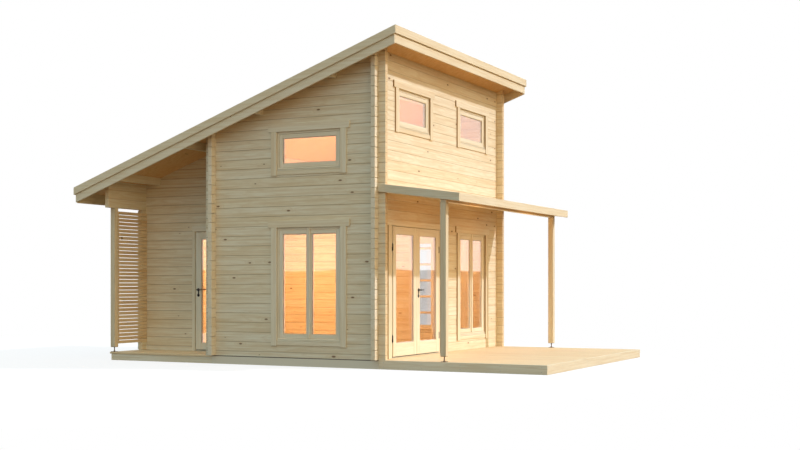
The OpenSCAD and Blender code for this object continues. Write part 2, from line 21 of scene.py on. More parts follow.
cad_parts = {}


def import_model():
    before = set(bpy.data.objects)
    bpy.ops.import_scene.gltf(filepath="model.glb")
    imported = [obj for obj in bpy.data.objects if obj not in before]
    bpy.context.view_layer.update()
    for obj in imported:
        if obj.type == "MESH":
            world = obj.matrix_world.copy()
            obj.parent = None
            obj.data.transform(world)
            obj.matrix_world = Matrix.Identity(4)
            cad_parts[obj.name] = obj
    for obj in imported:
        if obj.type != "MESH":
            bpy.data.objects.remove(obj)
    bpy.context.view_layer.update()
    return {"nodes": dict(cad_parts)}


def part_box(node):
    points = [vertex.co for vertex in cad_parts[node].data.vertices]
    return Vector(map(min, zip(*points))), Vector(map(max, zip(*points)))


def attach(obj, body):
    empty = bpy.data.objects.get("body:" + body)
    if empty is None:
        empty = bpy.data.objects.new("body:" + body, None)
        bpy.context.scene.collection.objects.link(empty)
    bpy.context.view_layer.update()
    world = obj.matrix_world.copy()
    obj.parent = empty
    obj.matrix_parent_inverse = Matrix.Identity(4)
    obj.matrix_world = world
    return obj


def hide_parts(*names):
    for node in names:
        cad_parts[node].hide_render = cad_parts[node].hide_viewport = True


log = logging.getLogger("sauna_cabin")

Rgb = tuple[float, float, float]
Point = tuple[float, float, float]
Pair = tuple[float, float]
Opening = tuple[float, float, float, float]
Height = Callable[[float, float], float]

# Height of one course of the wall logs.
COURSE = 0.145


class Body(str, Enum):
    """The bodies that the cabin's joints move."""

    ROOT = "root"
    LEFT_DOOR = "front_door_left"
    RIGHT_DOOR = "front_door_right"
    PORCH_DOOR = "porch_door"


class Slot(str, Enum):
    """The record's material slots, which the new pieces name but don't use."""

    LOG = "log_wood"
    TRIM = "trim_wood"
    JOINERY = "joinery_wood"
    DECK = "deck_wood"
    FELT = "felt"
    GLASS = "glazing"
    IRON = "black_metal"
    ZINC = "zinc_steel"


class Along(Enum):
    """Axis that the fibres of a board follow, in the board's own drawing."""

    X = 0
    Y = 1
    Z = 2


class Facing(Enum):
    """Directions that a nailed or screwed face looks in."""

    LEFT = (-1, 0, 0)
    RIGHT = (1, 0, 0)
    FRONT = (0, -1, 0)
    BACK = (0, 1, 0)
    UP = (0, 0, 1)


def rgb(red: int, green: int, blue: int) -> Rgb:
    """Turns display values from 0 to 255 into the linear colour that a shader takes."""
    linear = [((v / 255 + 0.055) / 1.055) ** 2.4 if v > 10 else v / 255 / 12.92 for v in (red, green, blue)]
    return linear[0], linear[1], linear[2]


# ---- Shader graphs ----


class Graph:
    """Node tree of one material or world, with short calls for the nodes that the finishes use."""

    def __init__(self, owner: bpy.types.Material | bpy.types.World) -> None:
        """Starts with an empty tree.

        Args:
            owner: The material or world whose tree it is.
        """
        owner.use_nodes = True
        self.owner = owner
        self.tree = owner.node_tree
        self.tree.nodes.clear()

    @classmethod
    def material(cls, name: str) -> Graph:
        """Starts the tree of a new material."""
        return cls(bpy.data.materials.new(name))

    def node(self, kind: str, inputs: Optional[dict] = None, **settings: object) -> bpy.types.Node:
        """Adds a node.

        Args:
            kind: Blender's type name of the node.
            inputs: Values or sockets for its inputs, by name or number.
            **settings: Properties of the node.

        Returns:
            The new node.
        """
        made = self.tree.nodes.new(kind)
        for key, value in settings.items():
            setattr(made, key, value)
        for key, value in (inputs or {}).items():
            if isinstance(value, bpy.types.NodeSocket):
                self.tree.links.new(value, made.inputs[key])
            else:
                made.inputs[key].default_value = value
        return made

    def math(self, operation: str, a: object, b: object = 0.0, c: object = 0.0) -> bpy.types.NodeSocket:
        """Returns the result of a Math node on up to three numbers or sockets."""
        return self.node("ShaderNodeMath", {0: a, 1: b, 2: c}, operation=operation).outputs[0]

    def ramp(self, value: object, low: float, high: float) -> bpy.types.NodeSocket:
        """Returns 0 where value is at low, 1 where it is at high, and a smooth step between them."""
        made = self.node("ShaderNodeMapRange", {"Value": value, "From Min": low, "From Max": high})
        made.interpolation_type = "SMOOTHSTEP"
        return made.outputs[0]

    def blend(self, share: object, a: object, b: object, kind: str = "MIX") -> bpy.types.NodeSocket:
        """Returns colour a with a share of colour b mixed in."""
        made = self.node("ShaderNodeMix", data_type="RGBA", blend_type=kind)
        for key, value in ((0, share), (6, a), (7, b)):
            if isinstance(value, bpy.types.NodeSocket):
                self.tree.links.new(value, made.inputs[key])
            else:
                made.inputs[key].default_value = (*value, 1) if isinstance(value, tuple) else value
        return made.outputs[2]

    def combine(self, x: object, y: object, z: object = 0.0) -> bpy.types.NodeSocket:
        """Returns a vector with these components."""
        return self.node("ShaderNodeCombineXYZ", {0: x, 1: y, 2: z}).outputs[0]

    def split(self, vector: object) -> tuple[bpy.types.NodeSocket, ...]:
        """Returns the three components of a vector."""
        return tuple(self.node("ShaderNodeSeparateXYZ", {0: vector}).outputs)

    def noise(self, vector: object, detail: float = 2.0, roughness: float = 0.5) -> bpy.types.NodeSocket:
        """Returns noise of one cycle per unit of the vector, from 0 to 1."""
        inputs = {"Vector": vector, "Scale": 1.0, "Detail": detail, "Roughness": roughness}
        return self.node("ShaderNodeTexNoise", inputs).outputs[0]

    def chance(self, number: object) -> bpy.types.Node:
        """Adds the node that draws a value and a colour for each whole number."""
        return self.node("ShaderNodeTexWhiteNoise", {"W": number}, noise_dimensions="1D")

    def vector(self, operation: str, a: object, b: object) -> bpy.types.NodeSocket:
        """Returns the result of a Vector Math node on two vectors."""
        return self.node("ShaderNodeVectorMath", {0: a, 1: b}, operation=operation).outputs[0]

    def length(self, vector: object) -> bpy.types.NodeSocket:
        """Returns the length of a vector."""
        return self.node("ShaderNodeVectorMath", {0: vector}, operation="LENGTH").outputs["Value"]

    def place(self, scale: Optional[float] = None) -> bpy.types.NodeSocket:
        """Returns the Object coordinates, in metres or multiplied by a scale."""
        metres = self.node("ShaderNodeTexCoord").outputs["Object"]
        if scale is None:
            return metres
        return self.node("ShaderNodeVectorMath", {0: metres, "Scale": scale}, operation="SCALE").outputs[0]

    def facing(self, axis: int) -> bpy.types.NodeSocket:
        """Returns how squarely the surface faces along an axis, from 0 to 1."""
        return self.math("ABSOLUTE", self.split(self.node("ShaderNodeNewGeometry").outputs["Normal"])[axis])

    def deepen(self, share: object, colour: object, tint: Rgb) -> bpy.types.NodeSocket:
        """Returns the colour with a share of it multiplied by the tint."""
        return self.blend(share, colour, self.blend(1.0, colour, tint, "MULTIPLY"))

    def bump(self, height: object, strength: float, depth: float) -> bpy.types.NodeSocket:
        """Returns the normal of a surface that rises with height, by up to depth metres."""
        inputs = {"Height": height, "Strength": strength, "Distance": depth}
        return self.node("ShaderNodeBump", inputs).outputs[0]

    def surface(self, shader: bpy.types.NodeSocket) -> bpy.types.Material:
        """Joins a shader to the material's output and returns the material."""
        self.node("ShaderNodeOutputMaterial", {"Surface": shader})
        return self.owner

    def principled(self, colour: object, **inputs: object) -> bpy.types.NodeSocket:
        """Adds a Principled shader.

        Args:
            colour: Base colour, as a socket or linear values.
            **inputs: Its other inputs, with underscores in place of spaces.

        Returns:
            The shader's output.
        """
        named = {key.replace("_", " "): value for key, value in inputs.items()}
        named["Base Color"] = (*colour, 1) if isinstance(colour, tuple) else colour
        return self.node("ShaderNodeBsdfPrincipled", named).outputs[0]


# ---- Finishes ----

GRAIN = "grain"
TONE = "tone"


@dataclass(frozen=True)
class WoodFinish:
    """Planed softwood whose grain follows each board, read from the piece's grain and tone attributes.

    The pitches and sizes of knots, rings and streaks are in metres, and the others are shares from 0 to 1.
    """

    name: str
    early: Rgb
    late: Rgb
    heart: Rgb
    knot: Rgb = rgb(118, 78, 44)
    knot_share: float = 0.07
    knot_size: float = 0.009
    knot_stretch: float = 1.5
    rings: float = 0.40
    figure: float = 0.75
    variety: float = 0.8
    speck: float = 0.16
    roughness: float = 0.62
    knot_pitch: Pair = (0.42, 0.13)
    knot_least: float = 0.35
    knot_edge: Pair = (1.15, 0.6)
    zone_edge: Pair = (4.5, 0.8)
    knot_tone: float = 0.85
    zone_tone: float = 0.45
    ring_pitch: float = 0.007
    ring_wander: float = 0.045
    ring_detour: float = 0.012
    ring_edge: float = 2.5
    streak_edge: Pair = (0.34, 0.72)
    streak_cycles: Pair = (1.1, 34.0)
    fibre_cycles: Pair = (12.0, 380.0)
    fibre_depth: float = 0.0006
    gloss: float = 0.3

    def grain(self, g: Graph) -> tuple[bpy.types.NodeSocket, bpy.types.NodeSocket]:
        """Returns the place along and across the fibres in metres, and the board's tone from 0 to 1."""
        place = g.node("ShaderNodeAttribute", attribute_name=GRAIN).outputs["Vector"]
        tone = g.node("ShaderNodeAttribute", attribute_name=TONE).outputs["Fac"]
        return place, tone

    def shade(self, g: Graph, colour: bpy.types.NodeSocket) -> bpy.types.NodeSocket:
        """Returns the colour with whatever painted shade or dirt the finish adds; plain boards add none."""
        return colour

    def knots(self, g: Graph, a: object, b: object) -> tuple[bpy.types.NodeSocket, bpy.types.NodeSocket]:
        """Scatters knots along the fibres.

        Args:
            g: The material's graph.
            a: Place along the fibres.
            b: Place across the fibres.

        Returns:
            The knots themselves and the wider zone round each, both from 0 to 1.
        """
        pitch_a, pitch_b = self.knot_pitch
        cell = g.combine(g.math("DIVIDE", a, pitch_a), g.math("DIVIDE", b, pitch_b))
        scatter = g.node("ShaderNodeTexVoronoi", {"Vector": cell, "Scale": 1.0}, voronoi_dimensions="2D")
        da, db, _ = g.split(g.vector("SUBTRACT", cell, scatter.outputs["Position"]))
        long, short = g.math("MULTIPLY", da, pitch_a / self.knot_stretch), g.math("MULTIPLY", db, pitch_b)
        far = g.length(g.combine(long, short))
        red, green, _ = g.node("ShaderNodeSeparateColor", {0: scatter.outputs["Color"]}).outputs
        size = g.math("MULTIPLY_ADD", red, self.knot_size, self.knot_size * self.knot_least)
        there = g.math("LESS_THAN", green, self.knot_share)
        inner = g.ramp(g.math("DIVIDE", far, size), *self.knot_edge)
        outer = g.ramp(g.math("DIVIDE", far, size), *self.zone_edge)
        return g.math("MULTIPLY", inner, there), g.math("MULTIPLY", outer, there)

    def material(self) -> bpy.types.Material:
        """Builds the wood: growth rings and streaks along the fibres, knots, fine fibre and low bump."""
        g = Graph.material(self.name)
        place, tone = self.grain(g)
        a, b, c = g.split(place)
        knot, zone = self.knots(g, a, b)
        slow = g.noise(g.combine(g.math("MULTIPLY", a, 0.9), g.math("MULTIPLY", b, 6.0), c), 2.0)
        bent = g.math("ADD", g.length(g.combine(b, c)), g.math("MULTIPLY", slow, self.ring_wander))
        bent = g.math("MULTIPLY_ADD", zone, self.ring_detour, bent)
        wave = g.math("SINE", g.math("MULTIPLY", bent, math.tau / self.ring_pitch))
        late = g.math("POWER", g.math("MULTIPLY_ADD", wave, 0.5, 0.5), self.ring_edge)
        streaks = self.streak(g, place, self.streak_cycles, 3.0)
        fibre = self.streak(g, place, self.fibre_cycles, 2.0)
        figure = g.math("MULTIPLY", g.ramp(streaks, *self.streak_edge), self.figure)
        colour = g.blend(figure, self.early, self.late)
        colour = g.blend(g.math("MULTIPLY", late, self.rings), colour, self.late)
        heartwood = g.math("MULTIPLY", g.ramp(tone, 0.0, 1.0), self.variety)
        colour = g.blend(heartwood, colour, self.heart, "MULTIPLY")
        speck = g.math("MULTIPLY_ADD", fibre, self.speck, 1 - self.speck / 2)
        colour = g.blend(1.0, colour, g.combine(speck, speck, speck), "MULTIPLY")
        colour = g.blend(g.math("MULTIPLY", zone, self.zone_tone), colour, self.late)
        colour = g.blend(g.math("MULTIPLY", knot, self.knot_tone), colour, self.knot)
        colour = self.shade(g, colour)
        height = g.math("MULTIPLY_ADD", fibre, 0.6, g.math("MULTIPLY", late, 0.4))
        bump = g.bump(height, 0.3, self.fibre_depth)
        rough = g.math("MULTIPLY_ADD", fibre, 0.16, self.roughness - 0.08)
        return g.surface(g.principled(colour, Roughness=rough, Normal=bump, Specular_IOR_Level=self.gloss))

    def streak(self, g: Graph, place: object, cycles: Pair, detail: float) -> bpy.types.NodeSocket:
        """Returns noise drawn out along the fibres, with these cycles per metre along and across them."""
        along, across = cycles
        return g.noise(g.vector("MULTIPLY", place, (along, across, across)), detail, 0.6)


@dataclass(frozen=True)
class LogFinish(WoodFinish):
    """Wall logs, whose courses are told apart by their height: a new log starts at every joint."""

    along: Along = Along.X
    first_joint: float = 0.0
    # Dirt and painted shade in the V of every course joint, mixed into a band either side of it.
    joint_dirt_and_shade: Rgb = rgb(158, 130, 92)
    joint_dirt_and_shade_share: float = 0.75
    joint_half: float = 0.0045
    log_run: float = 40.0
    pith_below: Pair = (0.12, -0.13)
    pith_behind: Pair = (0.05, 0.02)
    sawn_edge: Pair = (0.8, 0.95)
    knot_size: float = 0.012
    knot_stretch: float = 2.4
    end_tint: Rgb = (0.97, 0.88, 0.76)

    def courses(self, g: Graph) -> tuple[bpy.types.NodeSocket, ...]:
        """Returns x, y and the height above the last joint, in metres, and the number of the course."""
        x, y, z = g.split(g.place())
        rise = g.math("SUBTRACT", z, self.first_joint)
        number = g.math("FLOOR", g.math("DIVIDE", rise, COURSE))
        above = g.math("SUBTRACT", rise, g.math("MULTIPLY", number, COURSE))
        return x, y, above, number

    def grain(self, g: Graph) -> tuple[bpy.types.NodeSocket, bpy.types.NodeSocket]:
        """Returns the place along and across the fibres of the log at this height, and the log's tone."""
        x, y, above, number = self.courses(g)
        run, side = (x, y) if self.along is Along.X else (y, x)
        dice = g.chance(number)
        red, green, blue = g.node("ShaderNodeSeparateColor", {0: dice.outputs["Color"]}).outputs
        a = g.math("MULTIPLY_ADD", red, self.log_run, run)
        b = g.math("ADD", g.math("MULTIPLY_ADD", green, *self.pith_below), above)
        c = g.math("ADD", g.math("MULTIPLY_ADD", blue, *self.pith_behind), side)
        return g.combine(a, b, c), dice.outputs["Value"]

    def shade(self, g: Graph, colour: bpy.types.NodeSocket) -> bpy.types.NodeSocket:
        """Returns the colour darkened in the V of every joint by painted shade and dirt, and deeper on the
        sawn ends of the logs.
        """
        _, _, above, _ = self.courses(g)
        near = g.math("MINIMUM", above, g.math("SUBTRACT", COURSE, above))
        # Painted shade and dirt: darkens a band either side of each joint.
        share = g.math("MULTIPLY", g.ramp(near, self.joint_half, self.joint_half * 0.3), self.joint_dirt_and_shade_share)
        sawn = g.ramp(g.facing(self.along.value), *self.sawn_edge)
        return g.deepen(sawn, g.blend(share, colour, self.joint_dirt_and_shade), self.end_tint)


@dataclass(frozen=True)
class PaintedSideShadeFinish(WoodFinish):
    """Trim whose faces that look left or right carry painted shade, darker than its front face."""

    # Colour that multiplies the faces looking left or right: painted shade.
    edge: Rgb = (0.50, 0.38, 0.26)

    def shade(self, g: Graph, colour: bpy.types.NodeSocket) -> bpy.types.NodeSocket:
        """Returns the colour with painted shade on the faces that look left or right."""
        return g.deepen(g.ramp(g.facing(Along.X.value), 0.5, 0.9), colour, self.edge)


@dataclass(frozen=True)
class MetalFinish:
    """Painted or galvanised steel, with a faint mottle."""

    name: str
    colour: Rgb
    worn: Rgb
    metallic: float
    roughness: float
    mottle: float = 60.0
    pit_depth: float = 0.0004

    def material(self) -> bpy.types.Material:
        """Builds the metal from a mottle on Object coordinates."""
        g = Graph.material(self.name)
        patches = g.noise(g.place(self.mottle), 3.0)
        colour = g.blend(g.ramp(patches, 0.35, 0.75), self.colour, self.worn)
        rough = g.math("MULTIPLY_ADD", patches, 0.2, self.roughness - 0.1)
        bump = g.bump(patches, 0.2, self.pit_depth)
        return g.surface(g.principled(colour, Metallic=self.metallic, Roughness=rough, Normal=bump))


@dataclass(frozen=True)
class FeltFinish:
    """Roofing felt: mineral grit on bitumen, with a soft unevenness from sheet to sheet."""

    name: str = "roofing_felt"
    grit: Rgb = rgb(92, 92, 94)
    pale: Rgb = rgb(140, 139, 136)
    sheet: float = 0.9
    grit_cycles: float = 420.0
    grit_depth: float = 0.001
    run_cycles: Pair = (7.0, 0.7)

    def material(self) -> bpy.types.Material:
        """Builds the felt from grit, patches and rain streaks on Object coordinates."""
        g = Graph.material(self.name)
        grit = g.noise(g.place(self.grit_cycles), 2.0, 0.8)
        x, y, _ = g.split(g.place())
        across, down = self.run_cycles
        runs = g.noise(g.combine(g.math("MULTIPLY", x, across), g.math("MULTIPLY", y, down)), 3.0)
        patches = g.noise(g.combine(x, y), 3.0)
        tone = g.chance(g.math("FLOOR", g.math("DIVIDE", y, self.sheet))).outputs["Value"]
        share = g.math("MULTIPLY_ADD", grit, 0.9, g.math("MULTIPLY_ADD", runs, 0.35, -0.35))
        share = g.math("MULTIPLY_ADD", patches, 0.3, share)
        share = g.math("MULTIPLY_ADD", tone, 0.12, share)
        colour = g.blend(g.ramp(share, 0.1, 1.1), self.grit, self.pale)
        bump = g.bump(grit, 0.6, self.grit_depth)
        return g.surface(g.principled(colour, Roughness=0.93, Normal=bump, Specular_IOR_Level=0.2))


@dataclass(frozen=True)
class GlassFinish:
    """Clear sealed glazing, with the lightest dust film, that lets lamp light through to the room."""

    name: str = "clear_glazing"
    tint: Rgb = rgb(255, 255, 255)
    index: float = 1.62
    film_roughness: float = 0.008

    def material(self) -> bpy.types.Material:
        """Builds the glass, whose shadow rays go straight through."""
        g = Graph.material(self.name)
        film = g.noise(g.place(3.0))
        rough = g.math("MULTIPLY", g.ramp(film, 0.3, 0.9), self.film_roughness)
        pane = g.principled(self.tint, Roughness=rough, IOR=self.index, Transmission_Weight=1.0)
        clear = g.node("ShaderNodeBsdfTransparent", {"Color": (*self.tint, 1)}).outputs[0]
        lamp = g.node("ShaderNodeLightPath").outputs["Is Shadow Ray"]
        return g.surface(g.node("ShaderNodeMixShader", {0: lamp, 1: pane, 2: clear}).outputs[0])


@dataclass(frozen=True)
class RubberFinish:
    """Black rubber of the door seals, or with other colours the dark sill gasket, whose darkness paints the
    shadow line at the wall's foot, or the pale glazing tape.
    """

    name: str = "glazing_rubber"
    colour: Rgb = rgb(38, 36, 34)
    faded: Rgb = rgb(66, 62, 58)

    def material(self) -> bpy.types.Material:
        """Builds the rubber with faded patches on Object coordinates."""
        g = Graph.material(self.name)
        return g.surface(g.principled(g.blend(g.noise(g.place(30.0)), self.colour, self.faded), Roughness=0.7))


PINE_EARLY = rgb(242, 232, 205)
PINE_LATE = rgb(226, 206, 168)
PINE_HEART = (0.96, 0.92, 0.85)


@dataclass
class Finishes:
    """All materials of the cabin, each built once."""

    deck_z: float
    made: dict[str, bpy.types.Material] = field(default_factory=dict)

    def __post_init__(self) -> None:
        """Builds every material."""
        pine = {"early": PINE_EARLY, "late": PINE_LATE, "heart": PINE_HEART}
        side_joint = self.deck_z + COURSE / 2
        woods = [
            LogFinish("log_wall_x", **pine, along=Along.X, first_joint=self.deck_z, joint_dirt_and_shade_share=0.45,
                      figure=0.9, speck=0.22),
            LogFinish("log_wall_y", **pine, along=Along.Y, first_joint=side_joint, figure=0.95, speck=0.26),
            WoodFinish("log_end_wood", rgb(244, 234, 210), rgb(232, 214, 180), PINE_HEART, rings=0.6,
                       knot_share=0.0),
            WoodFinish("planed_trim", **pine, knot_share=0.05, knot_size=0.007),
            # These three finishes paint shade on their faces that look left or right.
            PaintedSideShadeFinish("front_trim", **pine, knot_share=0.05, knot_size=0.007),
            PaintedSideShadeFinish("post_wood", rgb(238, 227, 199), rgb(222, 201, 162), PINE_HEART, knot_share=0.05,
                       knot_size=0.008, edge=(0.92, 0.91, 0.90)),
            PaintedSideShadeFinish("canopy_trim", **pine, knot_share=0.05, edge=(0.86, 0.87, 0.86)),
            WoodFinish("edge_board_wood", **pine, knot_share=0.05),
            WoodFinish("slat_wood", rgb(244, 220, 180), rgb(222, 188, 140), (0.94, 0.88, 0.80),
                       knot_share=0.03),
            WoodFinish("joinery_wood", rgb(243, 234, 209), rgb(230, 214, 180), PINE_HEART, knot_share=0.0,
                       variety=0.4, roughness=0.5),
            WoodFinish("lining_boards", rgb(238, 198, 138), rgb(218, 168, 104), (0.95, 0.88, 0.78),
                       variety=0.35),
            WoodFinish("floor_boards", rgb(240, 218, 176), rgb(216, 182, 130), (0.95, 0.88, 0.78),
                       variety=0.5),
            WoodFinish("deck_boards", rgb(246, 224, 182), rgb(224, 194, 146), (0.97, 0.90, 0.82),
                       variety=0.5),
            WoodFinish("bearer_wood", rgb(242, 234, 214), rgb(226, 214, 186), (0.95, 0.94, 0.90),
                       knot_share=0.03),
            WoodFinish("core_board", rgb(206, 184, 144), rgb(184, 156, 116), PINE_HEART),
        ]
        others = [
            FeltFinish(), GlassFinish(), RubberFinish(),
            # Its dark colour is painted shade: the shadow line at the foot of the walls.
            RubberFinish("sill_gasket", rgb(74, 62, 48), rgb(98, 84, 64)),
            RubberFinish("glazing_tape", rgb(222, 208, 176), rgb(232, 220, 190)),
            MetalFinish("black_iron", rgb(34, 32, 31), rgb(58, 54, 50), 0.6, 0.42),
            MetalFinish("zinc_steel", rgb(168, 170, 172), rgb(196, 198, 200), 0.9, 0.42),
            MetalFinish("foot_steel", rgb(118, 98, 76), rgb(142, 120, 96), 0.35, 0.55),
            MetalFinish("spacer_bar", rgb(214, 208, 192), rgb(226, 220, 204), 0.2, 0.5),
        ]
        for finish in (*woods, *others):
            self.made[finish.name] = finish.material()

    def __getitem__(self, name: str) -> bpy.types.Material:
        """Returns a material by its name."""
        return self.made[name]


# ---- Mesh pieces ----

# Widths that a board's edges are eased by, and the angle from which an edge counts as sharp.
ARRIS = 0.003
FINE_ARRIS = 0.002
SHARP_ANGLE = math.radians(25)


def add_object(name: str, data: bpy.types.ID) -> bpy.types.Object:
    """Makes an object from its mesh, lamp or camera and links it to the scene."""
    made = bpy.data.objects.new(name, data)
    bpy.context.scene.collection.objects.link(made)
    return made


@dataclass(frozen=True)
class Head:
    """Head of a nail or screw: how deep it is sunk in a face, and how far it stands out of it."""

    radius: float
    sides: int
    sink: float
    stand: float


NAIL = Head(radius=0.003, sides=6, sink=0.002, stand=0.0004)
DECK_SCREW = Head(radius=0.0045, sides=8, sink=0.004, stand=0.0004)
EDGE_SCREW = Head(radius=0.0045, sides=8, sink=0.003, stand=0.0003)
SLAT_SCREW = Head(radius=0.0035, sides=6, sink=0.002, stand=0.0003)


class Piece:
    """One visible piece: boards, bars and round parts that are joined in a single mesh.

    Each part carries its own place in the grain and its own tone, as attributes of the mesh. The place starts
    anywhere along the run, with the pith up to pith_side to one side of the part, and a pith_depth above or
    below it.
    """

    run = 50.0
    pith_side = 0.09
    pith_depth = (0.03, 0.09)

    def __init__(self, name: str) -> None:
        """Starts an empty piece.

        Args:
            name: Name of the piece, which also seeds its boards' grain.
        """
        self.name = name
        self.mesh = bmesh.new()
        self.mesh.verts.layers.float_vector.new(GRAIN)
        self.mesh.verts.layers.float.new(TONE)
        self.dice = random.Random(name)
        self.scratch = bpy.data.meshes.new(name + "_part")

    def add(self, part: bmesh.types.BMesh, along: Along, turn: Optional[Matrix] = None) -> None:
        """Adds a finished part and frees it.

        Args:
            part: The part, whose faces point outwards.
            along: Axis of its fibres, before it is turned.
            turn: Where the part goes, or None where it was drawn in place.
        """
        grain = part.verts.layers.float_vector.new(GRAIN)
        tone = part.verts.layers.float.new(TONE)
        middle = sum((v.co for v in part.verts), Vector()) / max(len(part.verts), 1)
        start = self.dice.uniform(0, self.run)
        side = self.dice.uniform(-self.pith_side, self.pith_side)
        deep = self.dice.choice((-1, 1)) * self.dice.uniform(*self.pith_depth)
        shade = self.dice.random()
        order = [(along.value + k) % 3 for k in range(3)]
        for v in part.verts:
            local = v.co - middle
            v[grain] = (local[order[0]] + start, local[order[1]] + side, local[order[2]] + deep)
            v[tone] = shade
        if turn is not None:
            part.transform(turn)
            if turn.determinant() < 0:
                bmesh.ops.reverse_faces(part, faces=part.faces)
        part.to_mesh(self.scratch)
        part.free()
        self.mesh.from_mesh(self.scratch)

    def board(
        self, low: Sequence[float], high: Sequence[float], along: Along, ease: float = FINE_ARRIS,
        turn: Optional[Matrix] = None,
    ) -> None:
        """Adds a square-edged board with eased arrises.

        Args:
            low: Its lowest corner.
            high: Its highest corner.
            along: Axis of its fibres.
            ease: Width of the easing, or 0 for sharp edges.
            turn: Where the board goes, or None where it is drawn in place.
        """
        size = [high[k] - low[k] for k in range(3)]
        middle = Vector([(high[k] + low[k]) / 2 for k in range(3)])
        part = bmesh.new()
        place = Matrix.Translation(middle) @ Matrix.Diagonal((*size, 1.0))
        bmesh.ops.create_cube(part, size=1.0, matrix=place)
        self.soften(part, min(ease, min(size) * 0.3))
        self.add(part, along, turn)

    def pushed(
        self, outline: Sequence[Point], push: Point, along: Along, ease: float = FINE_ARRIS,
        turn: Optional[Matrix] = None,
    ) -> None:
        """Adds a board that is an outline pushed straight out of its plane.

        Args:
            outline: The outline's corners.
            push: How far it is pushed, and which way.
            along: Axis of its fibres.
            ease: Width of the easing.
            turn: Where the board goes, or None where it is drawn in place.
        """
        part = bmesh.new()
        face = part.faces.new([part.verts.new(corner) for corner in outline])
        grown = bmesh.ops.extrude_face_region(part, geom=[face])["geom"]
        moved = [v for v in grown if isinstance(v, bmesh.types.BMVert)]
        bmesh.ops.translate(part, verts=moved, vec=push)
        bmesh.ops.recalc_face_normals(part, faces=part.faces)
        self.soften(part, ease)
        self.add(part, along, turn)

    def sheared(
        self, corners: Sequence[Pair], x0: float, x1: float, along: Along, ease: float = FINE_ARRIS,
        turn: Optional[Matrix] = None,
    ) -> None:
        """Adds a board from x0 to x1 that has this outline of (y, z) corners."""
        self.pushed([(x0, y, z) for y, z in corners], (x1 - x0, 0, 0), along, ease, turn)

    def rod(
        self, start: Sequence[float], end: Sequence[float], radius: float, sides: int = 16, ease: float = 0.0,
        turn: Optional[Matrix] = None, radius_end: Optional[float] = None,
    ) -> None:
        """Adds a round bar, screw head or cone.

        Args:
            start: Middle of its first end.
            end: Middle of its other end.
            radius: Radius at the start.
            sides: Number of sides.
            ease: Width of the easing of its two rims.
            turn: Where the bar goes, or None where it is drawn in place.
            radius_end: Radius at the end, where it differs.
        """
        part = bmesh.new()
        line = Vector(end) - Vector(start)
        turned = line.to_track_quat("Z", "Y").to_matrix().to_4x4()
        place = Matrix.Translation((Vector(start) + Vector(end)) / 2) @ turned
        bmesh.ops.create_cone(
            part, cap_ends=True, segments=sides, radius1=radius,
            radius2=radius if radius_end is None else radius_end, depth=line.length, matrix=place,
        )
        if ease > 0:
            rims = [e for e in part.edges if any(len(f.verts) == sides for f in e.link_faces)]
            bmesh.ops.bevel(part, geom=rims, offset=ease, segments=2, profile=0.5, affect="EDGES", material=-1)
        self.add(part, Along.Z, turn)

    def drive(self, head: Head, at: Point, facing: Facing) -> None:
        """Drives a nail or screw, at its place on a face, into a face that looks this way."""
        sunk, proud = ([p + way * far for p, way in zip(at, facing.value)] for far in (-head.sink, head.stand))
        self.rod(sunk, proud, head.radius, head.sides)

    @staticmethod
    def soften(part: bmesh.types.BMesh, ease: float) -> None:
        """Bevels every sharp edge of a part by the width given."""
        if ease <= 0:
            return
        sharp = [e for e in part.edges if len(e.link_faces) == 2 and e.calc_face_angle(0.0) > SHARP_ANGLE]
        bmesh.ops.bevel(part, geom=sharp, offset=ease, segments=1, profile=0.5, affect="EDGES", material=-1)

    def finish(
        self, house: House, material: bpy.types.Material, slot: Slot, body: Body = Body.ROOT,
        replaced: Iterable[str] = (),
    ) -> bpy.types.Object:
        """Makes the object, dresses it and lets it ride.

        Args:
            house: The house that the piece is drawn on.
            material: The piece's finish.
            slot: The record's slot for the finish. Not used.
            body: The body that carries the piece.
            replaced: CAD nodes that the piece stands for.

        Returns:
            The piece.
        """
        bmesh.ops.translate(self.mesh, verts=self.mesh.verts, vec=house.corner)
        data = bpy.data.meshes.new(self.name)
        self.mesh.to_mesh(data)
        self.mesh.free()
        bpy.data.meshes.remove(self.scratch)
        piece = add_object(self.name, data)
        data.materials.append(material)
        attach(piece, body.value)
        if replaced:
            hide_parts(*replaced)
        log.info("%s: %d faces on %s", self.name, len(data.polygons), body.value)
        return piece


# ---- The house ----


